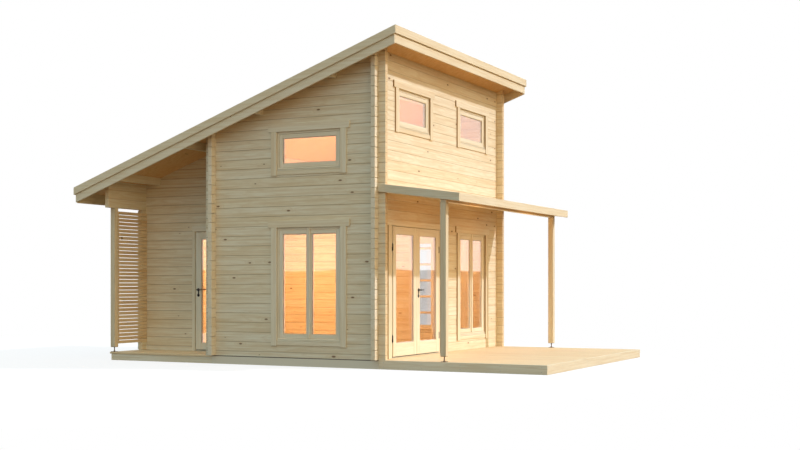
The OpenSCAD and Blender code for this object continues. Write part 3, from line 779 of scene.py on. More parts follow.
@dataclass(frozen=True)
class House:
    """Places and sizes that many sub-assemblies share, in house coordinates and in metres.

    The seat is the drop from the roof's edge to the top of the logs and purlins, a hair under the lining. The
    skin is how far outer boards stay inside the part's box, so that their nails do too.
    """

    corner: Vector
    width: float
    depth: float
    room_d: float
    porch_w: float
    terrace_d: float
    roof_y0: float
    roof_y1: float
    roof_front_z: float
    roof_back_z: float
    log_t: float = 0.070
    log_end: float = 0.110
    verge: float = 0.300
    fascia_t: float = 0.025
    fascia_h: float = 0.248
    board_t: float = 0.028
    skin: float = 0.0005
    lining_top: float = 0.080
    lining_bottom: float = 0.100
    seat: float = 0.1001

    @classmethod
    def from_frame(cls) -> House:
        """Reads the house's places from the boxes of its walls, decks and fascias."""
        gable_low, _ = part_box("left_gable_wall")
        front_low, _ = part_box("front_wall_left")
        _, right_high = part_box("right_gable_wall")
        _, deck_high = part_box("terrace_deck")
        corner = Vector((gable_low.x, front_low.y, deck_high.z))
        verge_low, verge_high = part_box("gable_fascias")
        eave_low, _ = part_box("eaves_fascias")
        edge_low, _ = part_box("edge_boards")
        return cls(
            corner=corner,
            width=right_high.x - corner.x,
            depth=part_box("back_wall")[1].y - corner.y,
            room_d=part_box("cross_wall")[1].y - corner.y,
            porch_w=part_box("porch_wall_upper")[0].x - corner.x,
            terrace_d=corner.y - edge_low.y,
            roof_y0=verge_low.y - corner.y,
            roof_y1=verge_high.y - corner.y,
            roof_front_z=verge_high.z - corner.z,
            roof_back_z=eave_low.z + cls.fascia_h - corner.z,
        )

    def box(self, node: str) -> tuple[Point, Point]:
        """Returns a CAD node's lowest and highest corners in house coordinates."""
        low, high = (tuple(p - c for p, c in zip(end, self.corner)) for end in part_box(node))
        return low, high

    @property
    def slope(self) -> float:
        """Fall of the roof for each metre of depth."""
        return (self.roof_front_z - self.roof_back_z) / (self.roof_y1 - self.roof_y0)

    def roof_z(self, y: float, drop: float) -> float:
        """Returns the height of a roof layer that lies drop below the roof's edge, at depth y."""
        return self.roof_front_z - drop - (y - self.roof_y0) * self.slope

    @property
    def cross_y(self) -> float:
        """Front face of the cross wall."""
        return self.room_d - self.log_t

    @property
    def back_y(self) -> float:
        """Inner face of the back wall."""
        return self.depth - self.log_t


def spread(start: float, end: float, pitch: float, gap: float) -> list[Pair]:
    """Divides a run into whole equal boards.

    Args:
        start: Start of the run.
        end: End of the run.
        pitch: Nearest distance from one board to the next.
        gap: Gap between two boards.

    Returns:
        Start and end of each board.
    """
    count = max(1, round((end - start + gap) / pitch))
    step = (end - start + gap) / count
    return [(start + k * step, start + (k + 1) * step - gap) for k in range(count)]


def evenly(start: float, end: float, count: int) -> list[float]:
    """Returns places spread evenly from the start to the end, with one at each."""
    return [start + k * (end - start) / (count - 1) for k in range(count)]


def sloped(height: Height, y0: float, y1: float, top: float, bottom: float) -> list[Pair]:
    """Returns the outline of a layer from depth y0 to y1, whose faces lie top and bottom below the slope."""
    return [(y0, height(y0, bottom)), (y1, height(y1, bottom)), (y1, height(y1, top)), (y0, height(y0, top))]


def propped(height: Height, y0: float, y1: float, foot: float, top: float) -> list[Pair]:
    """Returns the outline of a timber with a level foot, whose top lies top below the slope."""
    return [(y0, foot), (y1, foot), (y1, height(y1, top)), (y0, height(y0, top))]


@dataclass
class Floors:
    """Deck boards of the terrace and porch with their screws, and the room's floorboards."""

    house: House
    finishes: Finishes
    board_pitch: float = 0.125
    board_gap: float = 0.005
    floor_pitch: float = 0.118
    floor_gap: float = 0.0015
    floor_ease: float = 0.0015
    screw_in: float = 0.024
    joists: int = 5
    wall_row: float = -0.03
    porch_rows: tuple[float, ...] = (0.03, 0.32, 0.64, 0.95)

    def deck(self, name: str, node: str, sides: Pair, ends: Pair, rows: Sequence[float]) -> None:
        """Lays a deck whose boards run away from the front, with two screws wherever a board crosses a joist.

        Args:
            name: Start of the names of its two pieces.
            node: The CAD deck that it replaces.
            sides: Its left and right edges.
            ends: Its front and back edges.
            rows: Depths of the rows of screws.
        """
        boards = spread(*sides, self.board_pitch, self.board_gap)
        deck, heads = Piece(name + "_boards"), Piece(name + "_screws")
        for x0, x1 in boards:
            deck.board((x0, ends[0], -self.house.board_t), (x1, ends[1], 0), Along.Y, ARRIS)
            for y in rows:
                for x in (x0 + self.screw_in, x1 - self.screw_in):
                    heads.drive(DECK_SCREW, (x, y, 0.0), Facing.UP)
        deck.finish(self.house, self.finishes["deck_boards"], Slot.DECK, replaced=[node])
        heads.finish(self.house, self.finishes["zinc_steel"], Slot.ZINC)

    def terrace(self) -> None:
        """Lays the terrace inside its edge boards."""
        h = self.house
        front = -h.terrace_d + h.board_t
        step = (h.terrace_d - h.board_t) / self.joists
        rows = [front + k * step + self.screw_in for k in range(self.joists)] + [self.wall_row]
        self.deck("terrace", "terrace_deck", (h.board_t, h.width - h.board_t), (front, 0), rows)

    def porch(self) -> None:
        """Lays the porch deck."""
        h = self.house
        rows = [h.room_d + share * (h.depth - h.room_d) for share in self.porch_rows]
        self.deck("porch", "porch_deck", (0.0, h.porch_w), (h.room_d, h.depth), rows)

    def room(self) -> None:
        """Lays the room's tongued floorboards from side to side."""
        h = self.house
        floor = Piece("room_floorboards")
        for y0, y1 in spread(h.log_t, h.back_y, self.floor_pitch, self.floor_gap):
            x0 = h.log_t if y1 < h.cross_y else h.porch_w + h.log_t
            floor.board((x0, y0, -h.board_t), (h.width - h.log_t, y1, 0), Along.X, self.floor_ease)
        floor.finish(h, self.finishes["floor_boards"], Slot.DECK, replaced=["room_floor"])

    def build(self) -> None:
        """Builds all floors."""
        self.terrace()
        self.porch()
        self.room()


@dataclass
class Roof:
    """Lining boards under the roof, felt over it, and the fascias with their nails."""

    house: House
    finishes: Finishes
    lining_pitch: float = 0.095
    lining_gap: float = 0.0015
    lining_ease: float = 0.0015
    felt_lap: float = 0.08
    felt_sheet: float = 1.0
    felt_lift: float = 0.0035
    felt_t: float = 0.0005
    upper_h: float = 0.118
    fascia_step: float = 0.006
    fascia_slot: float = 0.006
    felt_drop: float = 0.010
    panel_drop: float = 0.016
    nail_drops: tuple[float, ...] = (0.03, 0.09, 0.15, 0.215)
    verge_nails: int = 10
    verge_nail_in: float = 0.15
    verge_nail_pitch: float = 0.6
    eaves_nails: int = 9
    eaves_nail_in: float = -0.2
    eaves_nail_pitch: float = 0.62

    def lining(self) -> None:
        """Lines the roof with boards that run down the slope."""
        h = self.house
        edge = 2 * h.fascia_t
        piece = Piece("roof_lining_boards")
        outline = sloped(h.roof_z, h.roof_y0 + edge, h.roof_y1 - edge, h.lining_top, h.lining_bottom)
        for x0, x1 in spread(-h.verge + edge, h.width + h.verge - edge, self.lining_pitch, self.lining_gap):
            piece.sheared(outline, x0, x1, Along.Y, self.lining_ease)
        piece.finish(h, self.finishes["lining_boards"], Slot.TRIM, replaced=["roof_boards"])

    def felt(self) -> None:
        """Lays the felt in sheets along the house, each lapped over the one below it."""
        h = self.house
        edge = 2 * h.fascia_t
        piece = Piece("roof_felt_sheets")
        start, end = h.roof_y0 + edge, h.roof_y1 - edge
        z, head, raised = h.roof_z, self.felt_drop, self.felt_drop - self.felt_lift
        for y0, y1 in spread(start, end, self.felt_sheet, 0.0):
            foot = min(y1 + self.felt_lap, end)
            if foot < end:
                outline = [
                    (y0, z(y0, self.panel_drop)), (y1, z(y1, self.panel_drop)),
                    (y1, z(y1, head + self.felt_t)), (foot, z(foot, head)),
                    (foot, z(foot, raised)), (y0, z(y0, raised)),
                ]
            else:
                outline = sloped(z, y0, end, head, self.panel_drop)
            piece.sheared(outline, -h.verge + edge, h.width + h.verge - edge, Along.X, 0.0)
        piece.finish(h, self.finishes["roofing_felt"], Slot.FELT, replaced=["roof_felt"])

    def fascias(self) -> None:
        """Hangs the doubled fascias: a lower board, and an upper one lapped over its top."""
        h = self.house
        t = h.fascia_t
        verge = Piece("gable_fascia_boards")
        for outer, side in ((-h.verge, 1), (h.width + h.verge, -1)):
            inner, middle = outer + side * 2 * t, outer + side * t
            near, far = sorted((outer + side * h.skin, middle - side * self.fascia_slot))
            upper = sloped(h.roof_z, h.roof_y0 + h.skin, h.roof_y1 - h.skin, 0, self.upper_h)
            verge.sheared(upper, near, far, Along.Y, ARRIS)
            near, far = sorted((inner, middle))
            lower = sloped(h.roof_z, h.roof_y0 + t, h.roof_y1 - t, self.fascia_step, h.fascia_h)
            verge.sheared(lower, near, far, Along.Y, ARRIS)
        verge.finish(h, self.finishes["planed_trim"], Slot.TRIM, replaced=["gable_fascias"])
        eaves = Piece("eaves_fascia_boards")
        start, end = -h.verge + t, h.width + h.verge - t
        for edge_z, y, side in ((h.roof_front_z, h.roof_y0, 1), (h.roof_back_z, h.roof_y1, -1)):
            near, far = sorted((y + side * h.skin, y + side * (t - self.fascia_slot)))
            eaves.board((start, near, edge_z - self.upper_h), (end, far, edge_z), Along.X, ARRIS)
            near, far = sorted((y + side * t, y + side * 2 * t))
            low = (start + t, near, edge_z - h.fascia_h)
            eaves.board(low, (end - t, far, edge_z - self.fascia_step), Along.X, ARRIS)
        eaves.finish(h, self.finishes["planed_trim"], Slot.TRIM, replaced=["eaves_fascias"])

    def nails(self) -> None:
        """Drives rows of nails through both boards of every fascia."""
        h = self.house
        piece = Piece("fascia_nails")
        steps = [(drop, h.skin if drop < self.upper_h else h.fascia_t) for drop in self.nail_drops]
        for k in range(self.verge_nails):
            y = h.roof_y0 + self.verge_nail_in + k * self.verge_nail_pitch
            for drop, step in steps:
                x, z = -h.verge + step, h.roof_z(y, drop)
                piece.drive(NAIL, (x, y, z), Facing.LEFT)
                piece.drive(NAIL, (h.width - x, y, z), Facing.RIGHT)
        for k in range(self.eaves_nails):
            x = self.eaves_nail_in + k * self.eaves_nail_pitch
            for drop, step in steps:
                piece.drive(NAIL, (x, h.roof_y0 + step, h.roof_front_z - drop), Facing.FRONT)
                piece.drive(NAIL, (x, h.roof_y1 - step, h.roof_back_z - drop), Facing.BACK)
        piece.finish(h, self.finishes["zinc_steel"], Slot.ZINC)

    def build(self) -> None:
        """Builds the roof's visible layers."""
        self.lining()
        self.felt()
        self.fascias()
        self.nails()


# ---- Windows ----


class Wall(Enum):
    """The walls that have windows."""

    FRONT = "front"
    LEFT = "left_gable"
    RIGHT = "right_gable"


@dataclass(frozen=True)
class Window:
    """One window, drawn facing -Y from the middle of its glass's lower edge, then set in its wall."""

    wall: Wall
    along: float
    sill_z: float
    glass_h: float
    sashes: int

    def place(self, house: House) -> Matrix:
        """Returns the matrix that sets the window in its wall."""
        if self.wall is Wall.FRONT:
            return Matrix.Translation((self.along, 0, self.sill_z))
        side = -1 if self.wall is Wall.LEFT else 1
        x = 0.0 if self.wall is Wall.LEFT else house.width
        return Matrix.Translation((x, self.along, self.sill_z)) @ Matrix.Rotation(side * math.pi / 2, 4, "Z")


@dataclass(frozen=True)
class SealedUnit:
    """Two sheets of glass held apart by a spacer bar, and the tape that they are bedded in."""

    thick: float = 0.014
    sheet_t: float = 0.003
    spacer_w: float = 0.009
    tape_w: float = 0.005

    def build(
        self, pieces: tuple[Piece, Piece, Piece], opening: Opening, front: float, tape_t: float, turn: Matrix,
    ) -> None:
        """Sets a unit in an opening of the XZ plane.

        Args:
            pieces: The pieces that its sheets, its spacer and its tape join.
            opening: Left, right, lower and upper edge of the opening.
            front: Front of the unit.
            tape_t: Thickness of the tape on either side of it.
            turn: Where it goes.
        """
        panes, spacer, tape = pieces
        x0, x1, z0, z1 = opening
        back = front + self.thick
        for y in (front, back - self.sheet_t):
            panes.board((x0, y, z0), (x1, y + self.sheet_t, z1), Along.Z, 0.0, turn)
        ring(spacer, opening, (front + self.sheet_t, back - self.sheet_t), self.spacer_w, turn)
        ring(tape, opening, (front - tape_t, front), self.tape_w, turn)
        ring(tape, opening, (back, back + tape_t), self.tape_w, turn)


@dataclass
class Windows:
    """Casings, frames, sashes, glazing and beads of every window."""

    house: House
    finishes: Finishes
    glass_w: float = 0.910
    frame_side: float = 0.109
    frame_top: float = 0.112
    frame_bottom: float = 0.120
    casing_gap: float = 0.089
    header_gap: float = 0.095
    header_h: float = 0.106
    header_over: float = 0.056
    header_cut: float = 0.014
    casing_w: float = 0.100
    casing_t: float = 0.022
    casing_drop: float = 0.178
    sill_top: float = 0.104
    sill_drop: float = 0.166
    sill_t: float = 0.014
    mullion_w: float = 0.092
    strip_w: float = 0.042
    strip_t: float = 0.012
    strip_lap: float = 0.004
    frame_y: float = 0.008
    pane_y: float = 0.024
    tape_t: float = 0.004
    bead_w: float = 0.008
    sash_w: float = 0.062
    sash_step: float = 0.004
    sash_gap: float = 0.003
    drip_in: float = 0.004
    drip_ease: float = 0.0015
    drip_h: float = 0.016
    drip_front: float = -0.010
    drip_top_h: float = 0.012
    drip_top_y: float = -0.004
    drip_zs: Pair = (-0.100, -0.082)
    bay: float = 1.115
    gable_y: float = 1.165
    small_h: float = 0.38
    tall_h: float = 1.49
    tall_z: float = 0.345
    front_z: float = 3.506
    gable_z: float = 2.883
    unit: SealedUnit = SealedUnit()
    windows: list[Window] = field(default_factory=list)

    def __post_init__(self) -> None:
        """Lists the windows: two small ones and a tall one in the front, and one of each in either gable."""
        left, right = self.house.width / 2 - self.bay, self.house.width / 2 + self.bay
        self.windows = [
            Window(Wall.FRONT, left, self.front_z, self.small_h, 1),
            Window(Wall.FRONT, right, self.front_z, self.small_h, 1),
            Window(Wall.FRONT, right, self.tall_z, self.tall_h, 2),
        ]
        for wall in (Wall.LEFT, Wall.RIGHT):
            self.windows.append(Window(wall, self.gable_y, self.gable_z, self.small_h, 1))
            self.windows.append(Window(wall, self.gable_y, self.tall_z, self.tall_h, 2))

    def panes(self, window: Window) -> list[Pair]:
        """Returns the start and end of each pane of a window."""
        half = self.glass_w / 2
        if window.sashes == 1:
            return [(-half, half)]
        return [(-half, -self.mullion_w / 2), (self.mullion_w / 2, half)]

    def casing(self, piece: Piece, window: Window) -> None:
        """Nails two side boards, a header with cut corners and a board below the sill round a window."""
        turn = window.place(self.house)
        inner = self.glass_w / 2 + self.casing_gap
        outer = inner + self.casing_w
        top = window.glass_h + self.header_gap
        for x in (-outer, inner):
            foot = (x, -self.casing_t, -self.casing_drop)
            piece.board(foot, (x + self.casing_w, 0, top), Along.Z, ARRIS, turn)
        header(piece, outer + self.header_over, top, self.header_h, self.header_cut, self.casing_t, turn)
        piece.board((-inner, -self.sill_t, -self.sill_drop), (inner, 0, -self.sill_top), Along.X, turn=turn)

    def frame(self, piece: Piece, window: Window) -> None:
        """Joins the fixed frame, and nails a cover strip over the meeting of two sashes."""
        turn = window.place(self.house)
        right = self.glass_w / 2 + self.frame_side
        low, high = -self.frame_bottom, window.glass_h + self.frame_top
        y0, y1 = self.frame_y, self.house.log_t
        side = self.frame_side - self.sash_w
        piece.board((-right, y0, low), (-right + side, y1, high), Along.Z, turn=turn)
        piece.board((right - side, y0, low), (right, y1, high), Along.Z, turn=turn)
        head = window.glass_h + self.sash_w
        piece.board((-right + side, y0, head), (right - side, y1, high), Along.X, turn=turn)
        piece.board((-right + side, y0, low), (right - side, y1, -self.sash_w), Along.X, turn=turn)
        if window.sashes == 2:
            half, top = self.strip_w / 2, window.glass_h + self.header_gap
            front, back = y0 - self.strip_t, y0 + self.strip_lap
            piece.board((-half, front, -self.sash_w), (half, back, top), Along.Z, ARRIS, turn)

    def sash(self, piece: Piece, window: Window, x0: float, x1: float) -> None:
        """Joins one sash round the pane from x0 to x1, a hair away from the frame and from its neighbour."""
        turn, gap = window.place(self.house), self.sash_gap
        y0, y1 = self.frame_y + self.sash_step, self.house.log_t
        left = x0 - (self.sash_w if x0 < -self.mullion_w else self.mullion_w / 2) + gap
        right = x1 + (self.sash_w if x1 > self.mullion_w else self.mullion_w / 2) - gap
        foot, head = -self.sash_w + gap, window.glass_h + self.sash_w - gap
        piece.board((left, y0, foot), (x0, y1, head), Along.Z, ARRIS, turn)
        piece.board((x1, y0, foot), (right, y1, head), Along.Z, ARRIS, turn)
        piece.board((x0, y0, window.glass_h), (x1, y1, head), Along.X, ARRIS, turn)
        piece.board((x0, y0, foot), (x1, y1, 0), Along.X, ARRIS, turn)

    def drips(self, piece: Piece, window: Window) -> None:
        """Runs the ribbed weatherboard under the sashes."""
        half = self.glass_w / 2 + self.casing_gap - self.drip_in
        for z in self.drip_zs:
            outline = [(self.drip_front, z), (self.frame_y, z), (self.frame_y, z + self.drip_h),
                       (self.drip_top_y, z + self.drip_top_h)]
            piece.sheared(outline, -half, half, Along.X, self.drip_ease, window.place(self.house))

    def build(self) -> None:
        """Builds the pieces of all windows."""
        casings, fronts = Piece("window_casing_boards"), Piece("front_window_casing_boards")
        frames, sashes, drips = Piece("window_frame_boards"), Piece("window_sashes"), Piece("window_drips")
        panes, spacers, tapes = Piece("window_panes"), Piece("window_spacers"), Piece("window_glazing_tapes")
        beads = (self.pane_y + self.unit.thick + self.tape_t, self.house.log_t)
        for window in self.windows:
            self.casing(fronts if window.wall is Wall.FRONT else casings, window)
            self.frame(frames, window)
            for x0, x1 in self.panes(window):
                self.sash(sashes, window, x0, x1)
            self.drips(drips, window)
            turn = window.place(self.house)
            for x0, x1 in self.panes(window):
                opening = (x0, x1, 0, window.glass_h)
                self.unit.build((panes, spacers, tapes), opening, self.pane_y, self.tape_t, turn)
                ring(sashes, opening, beads, self.bead_w, turn)
        for piece, finish, slot, replaced in (
            (casings, "planed_trim", Slot.TRIM, ["window_casings"]),
            (fronts, "front_trim", Slot.TRIM, ["window_casings"]),
            (frames, "joinery_wood", Slot.JOINERY, ["window_frames"]),
            (sashes, "joinery_wood", Slot.JOINERY, []),
            (drips, "joinery_wood", Slot.JOINERY, []),
            (panes, "clear_glazing", Slot.GLASS, ["window_glass"]),
            (spacers, "spacer_bar", Slot.ZINC, []),
            (tapes, "glazing_tape", Slot.JOINERY, []),
        ):
            piece.finish(self.house, self.finishes[finish], slot, replaced=replaced)


def header(
    piece: Piece, half: float, z: float, height: float, cut: float, thick: float, turn: Matrix
) -> None:
    """Adds a header board whose lower corners are cut.

    Args:
        piece: The piece that it joins.
        half: Half of its length.
        z: Height of its lower edge.
        height: Its height.
        cut: Size of the cut corners.
        thick: Its thickness.
        turn: Where it goes.
    """
    top = z + height
    outline = [(-half + cut, z), (half - cut, z), (half, z + cut), (half, top), (-half, top), (-half, z + cut)]
    piece.pushed([(x, 0, up) for x, up in outline], (0, -thick, 0), Along.X, ARRIS, turn)


def ring(
    piece: Piece, opening: Opening, depth: Pair, width: float, turn: Optional[Matrix] = None,
    ease: float = 0.0,
) -> None:
    """Adds four bars inside the edge of an opening in the XZ plane.

    Args:
        piece: The piece that they join.
        opening: Left, right, lower and upper edge of the opening.
        depth: Front and back of the bars.
        width: Width of the bars.
        turn: Where they go.
        ease: Width of their easing.
    """
    x0, x1, z0, z1 = opening
    y0, y1 = depth
    piece.board((x0, y0, z0), (x0 + width, y1, z1), Along.Z, ease, turn)
    piece.board((x1 - width, y0, z0), (x1, y1, z1), Along.Z, ease, turn)
    piece.board((x0 + width, y0, z0), (x1 - width, y1, z0 + width), Along.X, ease, turn)
    piece.board((x0 + width, y0, z1 - width), (x1 - width, y1, z1), Along.X, ease, turn)


# ---- Doors ----


MIRROR = Matrix.Scale(-1, 4, (1, 0, 0))
SIDEWAYS = Matrix.Rotation(-math.pi / 2, 4, "Z") @ MIRROR


@dataclass(frozen=True)
class Leaf:
    """One door leaf, drawn facing -Y with its hinge edge at x = 0, then set in its doorway."""

    name: str
    body: Body
    turn: Matrix
    foot: float
    lever: bool


@dataclass(frozen=True)
class Hinge:
    """Lift-off hinge: its upper half turns with the leaf, over the lower half that the frame carries."""

    pin: Pair = (-0.0025, -0.009)
    knuckle_r: float = 0.0075
    knuckle_h: float = 0.048
    knuckle_gap: float = 0.0006
    knuckle_ease: float = 0.0012
    cap_h: float = 0.004
    cap_share: float = 0.7
    cap_ease: float = 0.0015
    web_t: float = 0.002
    plate_t: float = 0.0015
    plate_h: float = 0.060
    plate_ease: float = 0.0005
    leaf_plate_w: float = 0.026
    seat_plate_w: float = 0.011
    screw_r: float = 0.0035
    screw_t: float = 0.0008
    screw_ease: float = 0.0004
    screw_across: float = 0.68
    screws_up: tuple[float, ...] = (0.22, 0.5, 0.78)

    def half(self, piece: Piece, turn: Matrix, z: float, up: int) -> None:
        """Adds half of the hinge.

        Args:
            piece: The piece that it joins.
            turn: The doorway's place.
            z: Height where the halves meet.
            up: 1 for the half on the leaf, or -1 for the half on the frame.
        """
        x, y = self.pin
        on_leaf = up > 0
        near, far = z + (self.knuckle_gap if on_leaf else 0.0), z + up * self.knuckle_h
        piece.rod((x, y, near), (x, y, far), self.knuckle_r, 20, self.knuckle_ease, turn)
        cap_r = self.knuckle_r * self.cap_share
        piece.rod((x, y, far), (x, y, far + up * self.cap_h), cap_r, 16, self.cap_ease, turn)
        low, high = sorted((near, far))
        x0, x1 = sorted((x, x + up * self.web_t))
        piece.board((x0, y, low), (x1, 0, high), Along.Z, 0.0, turn)
        plate_w = self.leaf_plate_w if on_leaf else self.seat_plate_w
        x0, x1 = sorted((x, x + up * plate_w))
        low, high = sorted((near, z + up * self.plate_h))
        piece.board((x0, -self.plate_t, low), (x1, 0, high), Along.Z, self.plate_ease, turn)
        if on_leaf:
            for share in self.screws_up:
                at = (x + plate_w * self.screw_across, -self.plate_t, z + self.plate_h * share)
                top = (at[0], -self.plate_t - self.screw_t, at[2])
                piece.rod(at, top, self.screw_r, 12, self.screw_ease, turn)


@dataclass(frozen=True)
class LeverSet:
    """Lever on its rose, and the key plate below it, on both faces of a leaf."""

    z: float = 1.000
    rose_r: float = 0.025
    rose_t: float = 0.008
    collar_r: float = 0.013
    collar_end: float = 0.014
    neck_r: float = 0.0085
    neck_start: float = 0.010
    neck_end: float = 0.050
    reach: float = 0.043
    heel: float = 0.010
    grip: float = 0.108
    grip_r: float = 0.0088
    grip_end_r: float = 0.0070
    tip: Pair = (0.104, 0.1235)
    tip_back: float = 0.012
    tip_end_r: float = 0.0060
    key_drop: float = 0.090
    key_plate_t: float = 0.004
    key_rise: float = 0.003
    key_r: float = 0.0055
    key_t: float = 0.0048
    slot_half: float = 0.002
    slot_drop: float = 0.010
    back_half: float = 0.0125
    back_t: float = 0.0015

    def build(self, piece: Piece, x: float, faces: Sequence[tuple[float, int]], turn: Matrix) -> None:
        """Fits the lever and key plate to each face.

        Args:
            piece: The piece that they join.
            x: Middle of the stile that they sit on.
            faces: Each face's depth, and -1 where it looks out or 1 where it looks in.
            turn: The leaf's place.
        """
        z, key_z = self.z, self.z - self.key_drop
        for face, out in faces:
            keyhole = key_z + self.key_rise
            bars = (
                ((0, 0, z), (0, self.rose_t, z), self.rose_r, self.rose_r, 32, 0.0015),
                ((0, self.rose_t, z), (0, self.collar_end, z), self.collar_r, self.collar_r, 24, 0.0015),
                ((0, self.neck_start, z), (0, self.neck_end, z), self.neck_r, self.neck_r, 20, 0.001),
                ((self.heel, self.reach, z), (-self.grip, self.reach, z), self.grip_r, self.grip_end_r, 20,
                 0.003),
                ((-self.tip[0], self.reach, z), (-self.tip[1], self.reach - self.tip_back, z), self.grip_end_r,
                 self.tip_end_r, 16, 0.003),
                ((0, 0, key_z), (0, self.key_plate_t, key_z), self.rose_r, self.rose_r, 32, 0.0012),
                ((0, self.key_plate_t, keyhole), (0, self.key_t, keyhole), self.key_r, self.key_r, 16, 0.0),
            )
            for start, end, radius, radius_end, sides, ease in bars:
                start, end = ((x + along, face + out * away, up) for along, away, up in (start, end))
                piece.rod(start, end, radius, sides, ease, turn, radius_end)
            low, high = sorted((face, face + out * self.back_t))
            piece.board((x - self.back_half, low, key_z), (x + self.back_half, high, z), Along.Z, 0.0004, turn)
            low, high = sorted((face, face + out * self.key_t))
            half, foot = self.slot_half, key_z - self.slot_drop
            piece.board((x - half, low, foot), (x + half, high, keyhole), Along.Z, 0.0003, turn)


@dataclass
class Doors:
    """Frames, casings, leaves, glazing and ironmongery of the double front door and the porch door."""

    house: House
    finishes: Finishes
    leaf_w: float = 0.796
    leaf_h: float = 1.920
    leaf_t: float = 0.045
    sill_h: float = 0.018
    gap: float = 0.005
    stile: float = 0.100
    top_rail: float = 0.108
    front_foot: float = 0.195
    porch_foot: float = 0.110
    jamb: float = 0.074
    porch_jamb: float = 0.040
    stop_w: float = 0.015
    lintel_z: float = 2.030
    casing_t: float = 0.022
    casing_w: float = 0.100
    casing_lap: float = 0.018
    porch_casing_w: float = 0.058
    porch_casing_lap: float = 0.030
    header_gap: float = 0.010
    header_h: float = 0.090
    header_over: float = 0.056
    header_cut: float = 0.014
    hinge_zs: Pair = (0.285, 1.630)
    proud: float = 0.012
    bead: float = 0.010
    bead_in: float = 0.003
    inner_bead_in: float = 0.002
    inner_bead_w: float = 0.012
    outer_bead_w: float = 0.007
    rail_in: float = 0.0004
    tape_t: float = 0.003
    foot_gap: float = 0.006
    hinge_edge: float = 0.006
    seal_in: float = 0.003
    seal_t: float = 0.004
    seal_w: float = 0.008
    seal_ease: float = 0.001
    meeting_seal: Pair = (-0.001, 0.003)
    meeting_seal_y: Pair = (0.030, 0.036)
    seal_end: float = 0.002
    unit: SealedUnit = SealedUnit()
    hinge: Hinge = Hinge()
    lever: LeverSet = LeverSet()
    leaves: list[Leaf] = field(default_factory=list)

    def __post_init__(self) -> None:
        """Places the leaves by the boxes of their nodes."""
        left, _ = self.house.box("left_leaf")
        _, right = self.house.box("right_leaf")
        porch, _ = self.house.box("porch_leaf")
        aside = Matrix.Translation((porch[0], porch[1], 0)) @ SIDEWAYS
        right_turn = Matrix.Translation((right[0], 0, 0)) @ MIRROR
        self.leaves = [
            Leaf("left_leaf", Body.LEFT_DOOR, Matrix.Translation((left[0], 0, 0)), self.front_foot, False),
            Leaf("right_leaf", Body.RIGHT_DOOR, right_turn, self.front_foot, True),
            Leaf("porch_leaf", Body.PORCH_DOOR, aside, self.porch_foot, True),
        ]

    def timber(self, leaf: Leaf) -> None:
        """Joins a leaf's stiles and rails, proud of the frame, with glazing beads on both sides."""
        piece = Piece(leaf.name + "_timber")
        t, turn, face = self.leaf_t, leaf.turn, -self.proud
        x0, x1, foot, head = opening = self.opening(leaf)
        low, high = self.sill_h + self.foot_gap, self.sill_h + self.leaf_h
        outside, inside = face + self.rail_in, t - self.rail_in
        piece.board((self.hinge_edge, face, low), (x0, t, high), Along.Z, ARRIS, turn)
        piece.board((x1, face, low), (self.leaf_w, t, high), Along.Z, ARRIS, turn)
        piece.board((x0, outside, head), (x1, inside, high), Along.X, ARRIS, turn)
        piece.board((x0, outside, low), (x1, inside, foot), Along.X, ARRIS, turn)
        front, back = self.unit_y, self.unit_y + self.unit.thick
        ring(piece, opening, (back + self.tape_t, t - self.inner_bead_in), self.inner_bead_w, turn, FINE_ARRIS)
        ring(piece, opening, (face + self.bead_in, front - self.tape_t), self.outer_bead_w, turn, FINE_ARRIS)
        piece.finish(self.house, self.finishes["joinery_wood"], Slot.JOINERY, leaf.body, [leaf.name])

    @property
    def unit_y(self) -> float:
        """Depth of the front of a leaf's sealed unit, behind the outer bead."""
        return self.bead - self.proud

    def opening(self, leaf: Leaf) -> Opening:
        """Returns the left, right, lower and upper edge of a leaf's glazed opening."""
        high = self.sill_h + self.leaf_h - self.top_rail
        return self.stile, self.leaf_w - self.stile, self.sill_h + leaf.foot, high

    def glazing(self, leaf: Leaf) -> None:
        """Sets a sealed unit in a leaf, with its tapes, and the seals of its meeting edge and its foot."""
        w, low, turn = self.leaf_w, self.sill_h, leaf.turn
        high = low + self.leaf_h
        panes, spacer, tape, seal = (Piece(leaf.name + end) for end in ("_panes", "_spacer", "_tape", "_seal"))
        self.unit.build((panes, spacer, tape), self.opening(leaf), self.unit_y, self.tape_t, turn)
        (lap, out), (near, far), end = self.meeting_seal, self.meeting_seal_y, self.seal_end
        seal.board((w + lap, near, low + end), (w + out, far, high - end), Along.Z, self.seal_ease, turn)
        # The dark rubber under the leaf's foot also paints the shadow line under the leaf.
        foot = (self.hinge_edge, end - self.proud, low - end)
        seal.board(foot, (w - end, near, low + self.foot_gap - lap), Along.X, self.seal_ease, turn)
        for piece, finish, slot, replaced in (
            (panes, "clear_glazing", Slot.GLASS, [leaf.name + "_glass"]),
            (spacer, "spacer_bar", Slot.ZINC, []),
            (tape, "glazing_tape", Slot.JOINERY, []),
            (seal, "glazing_rubber", Slot.IRON, []),
        ):
            piece.finish(self.house, self.finishes[finish], slot, leaf.body, replaced)

    def ironmongery(self, leaf: Leaf) -> None:
        """Fits a leaf's halves of its hinges, and its lever if it has one."""
        name = leaf.name + ("_hardware" if leaf.lever else "_hinges")
        piece = Piece(name + "_set")
        for z in self.hinge_zs:
            self.hinge.half(piece, leaf.turn, z, 1)
        if leaf.lever:
            faces = ((-self.proud, -1), (self.leaf_t, 1))
            self.lever.build(piece, self.leaf_w - self.stile / 2, faces, leaf.turn)
        piece.finish(self.house, self.finishes["black_iron"], Slot.IRON, leaf.body, [name])

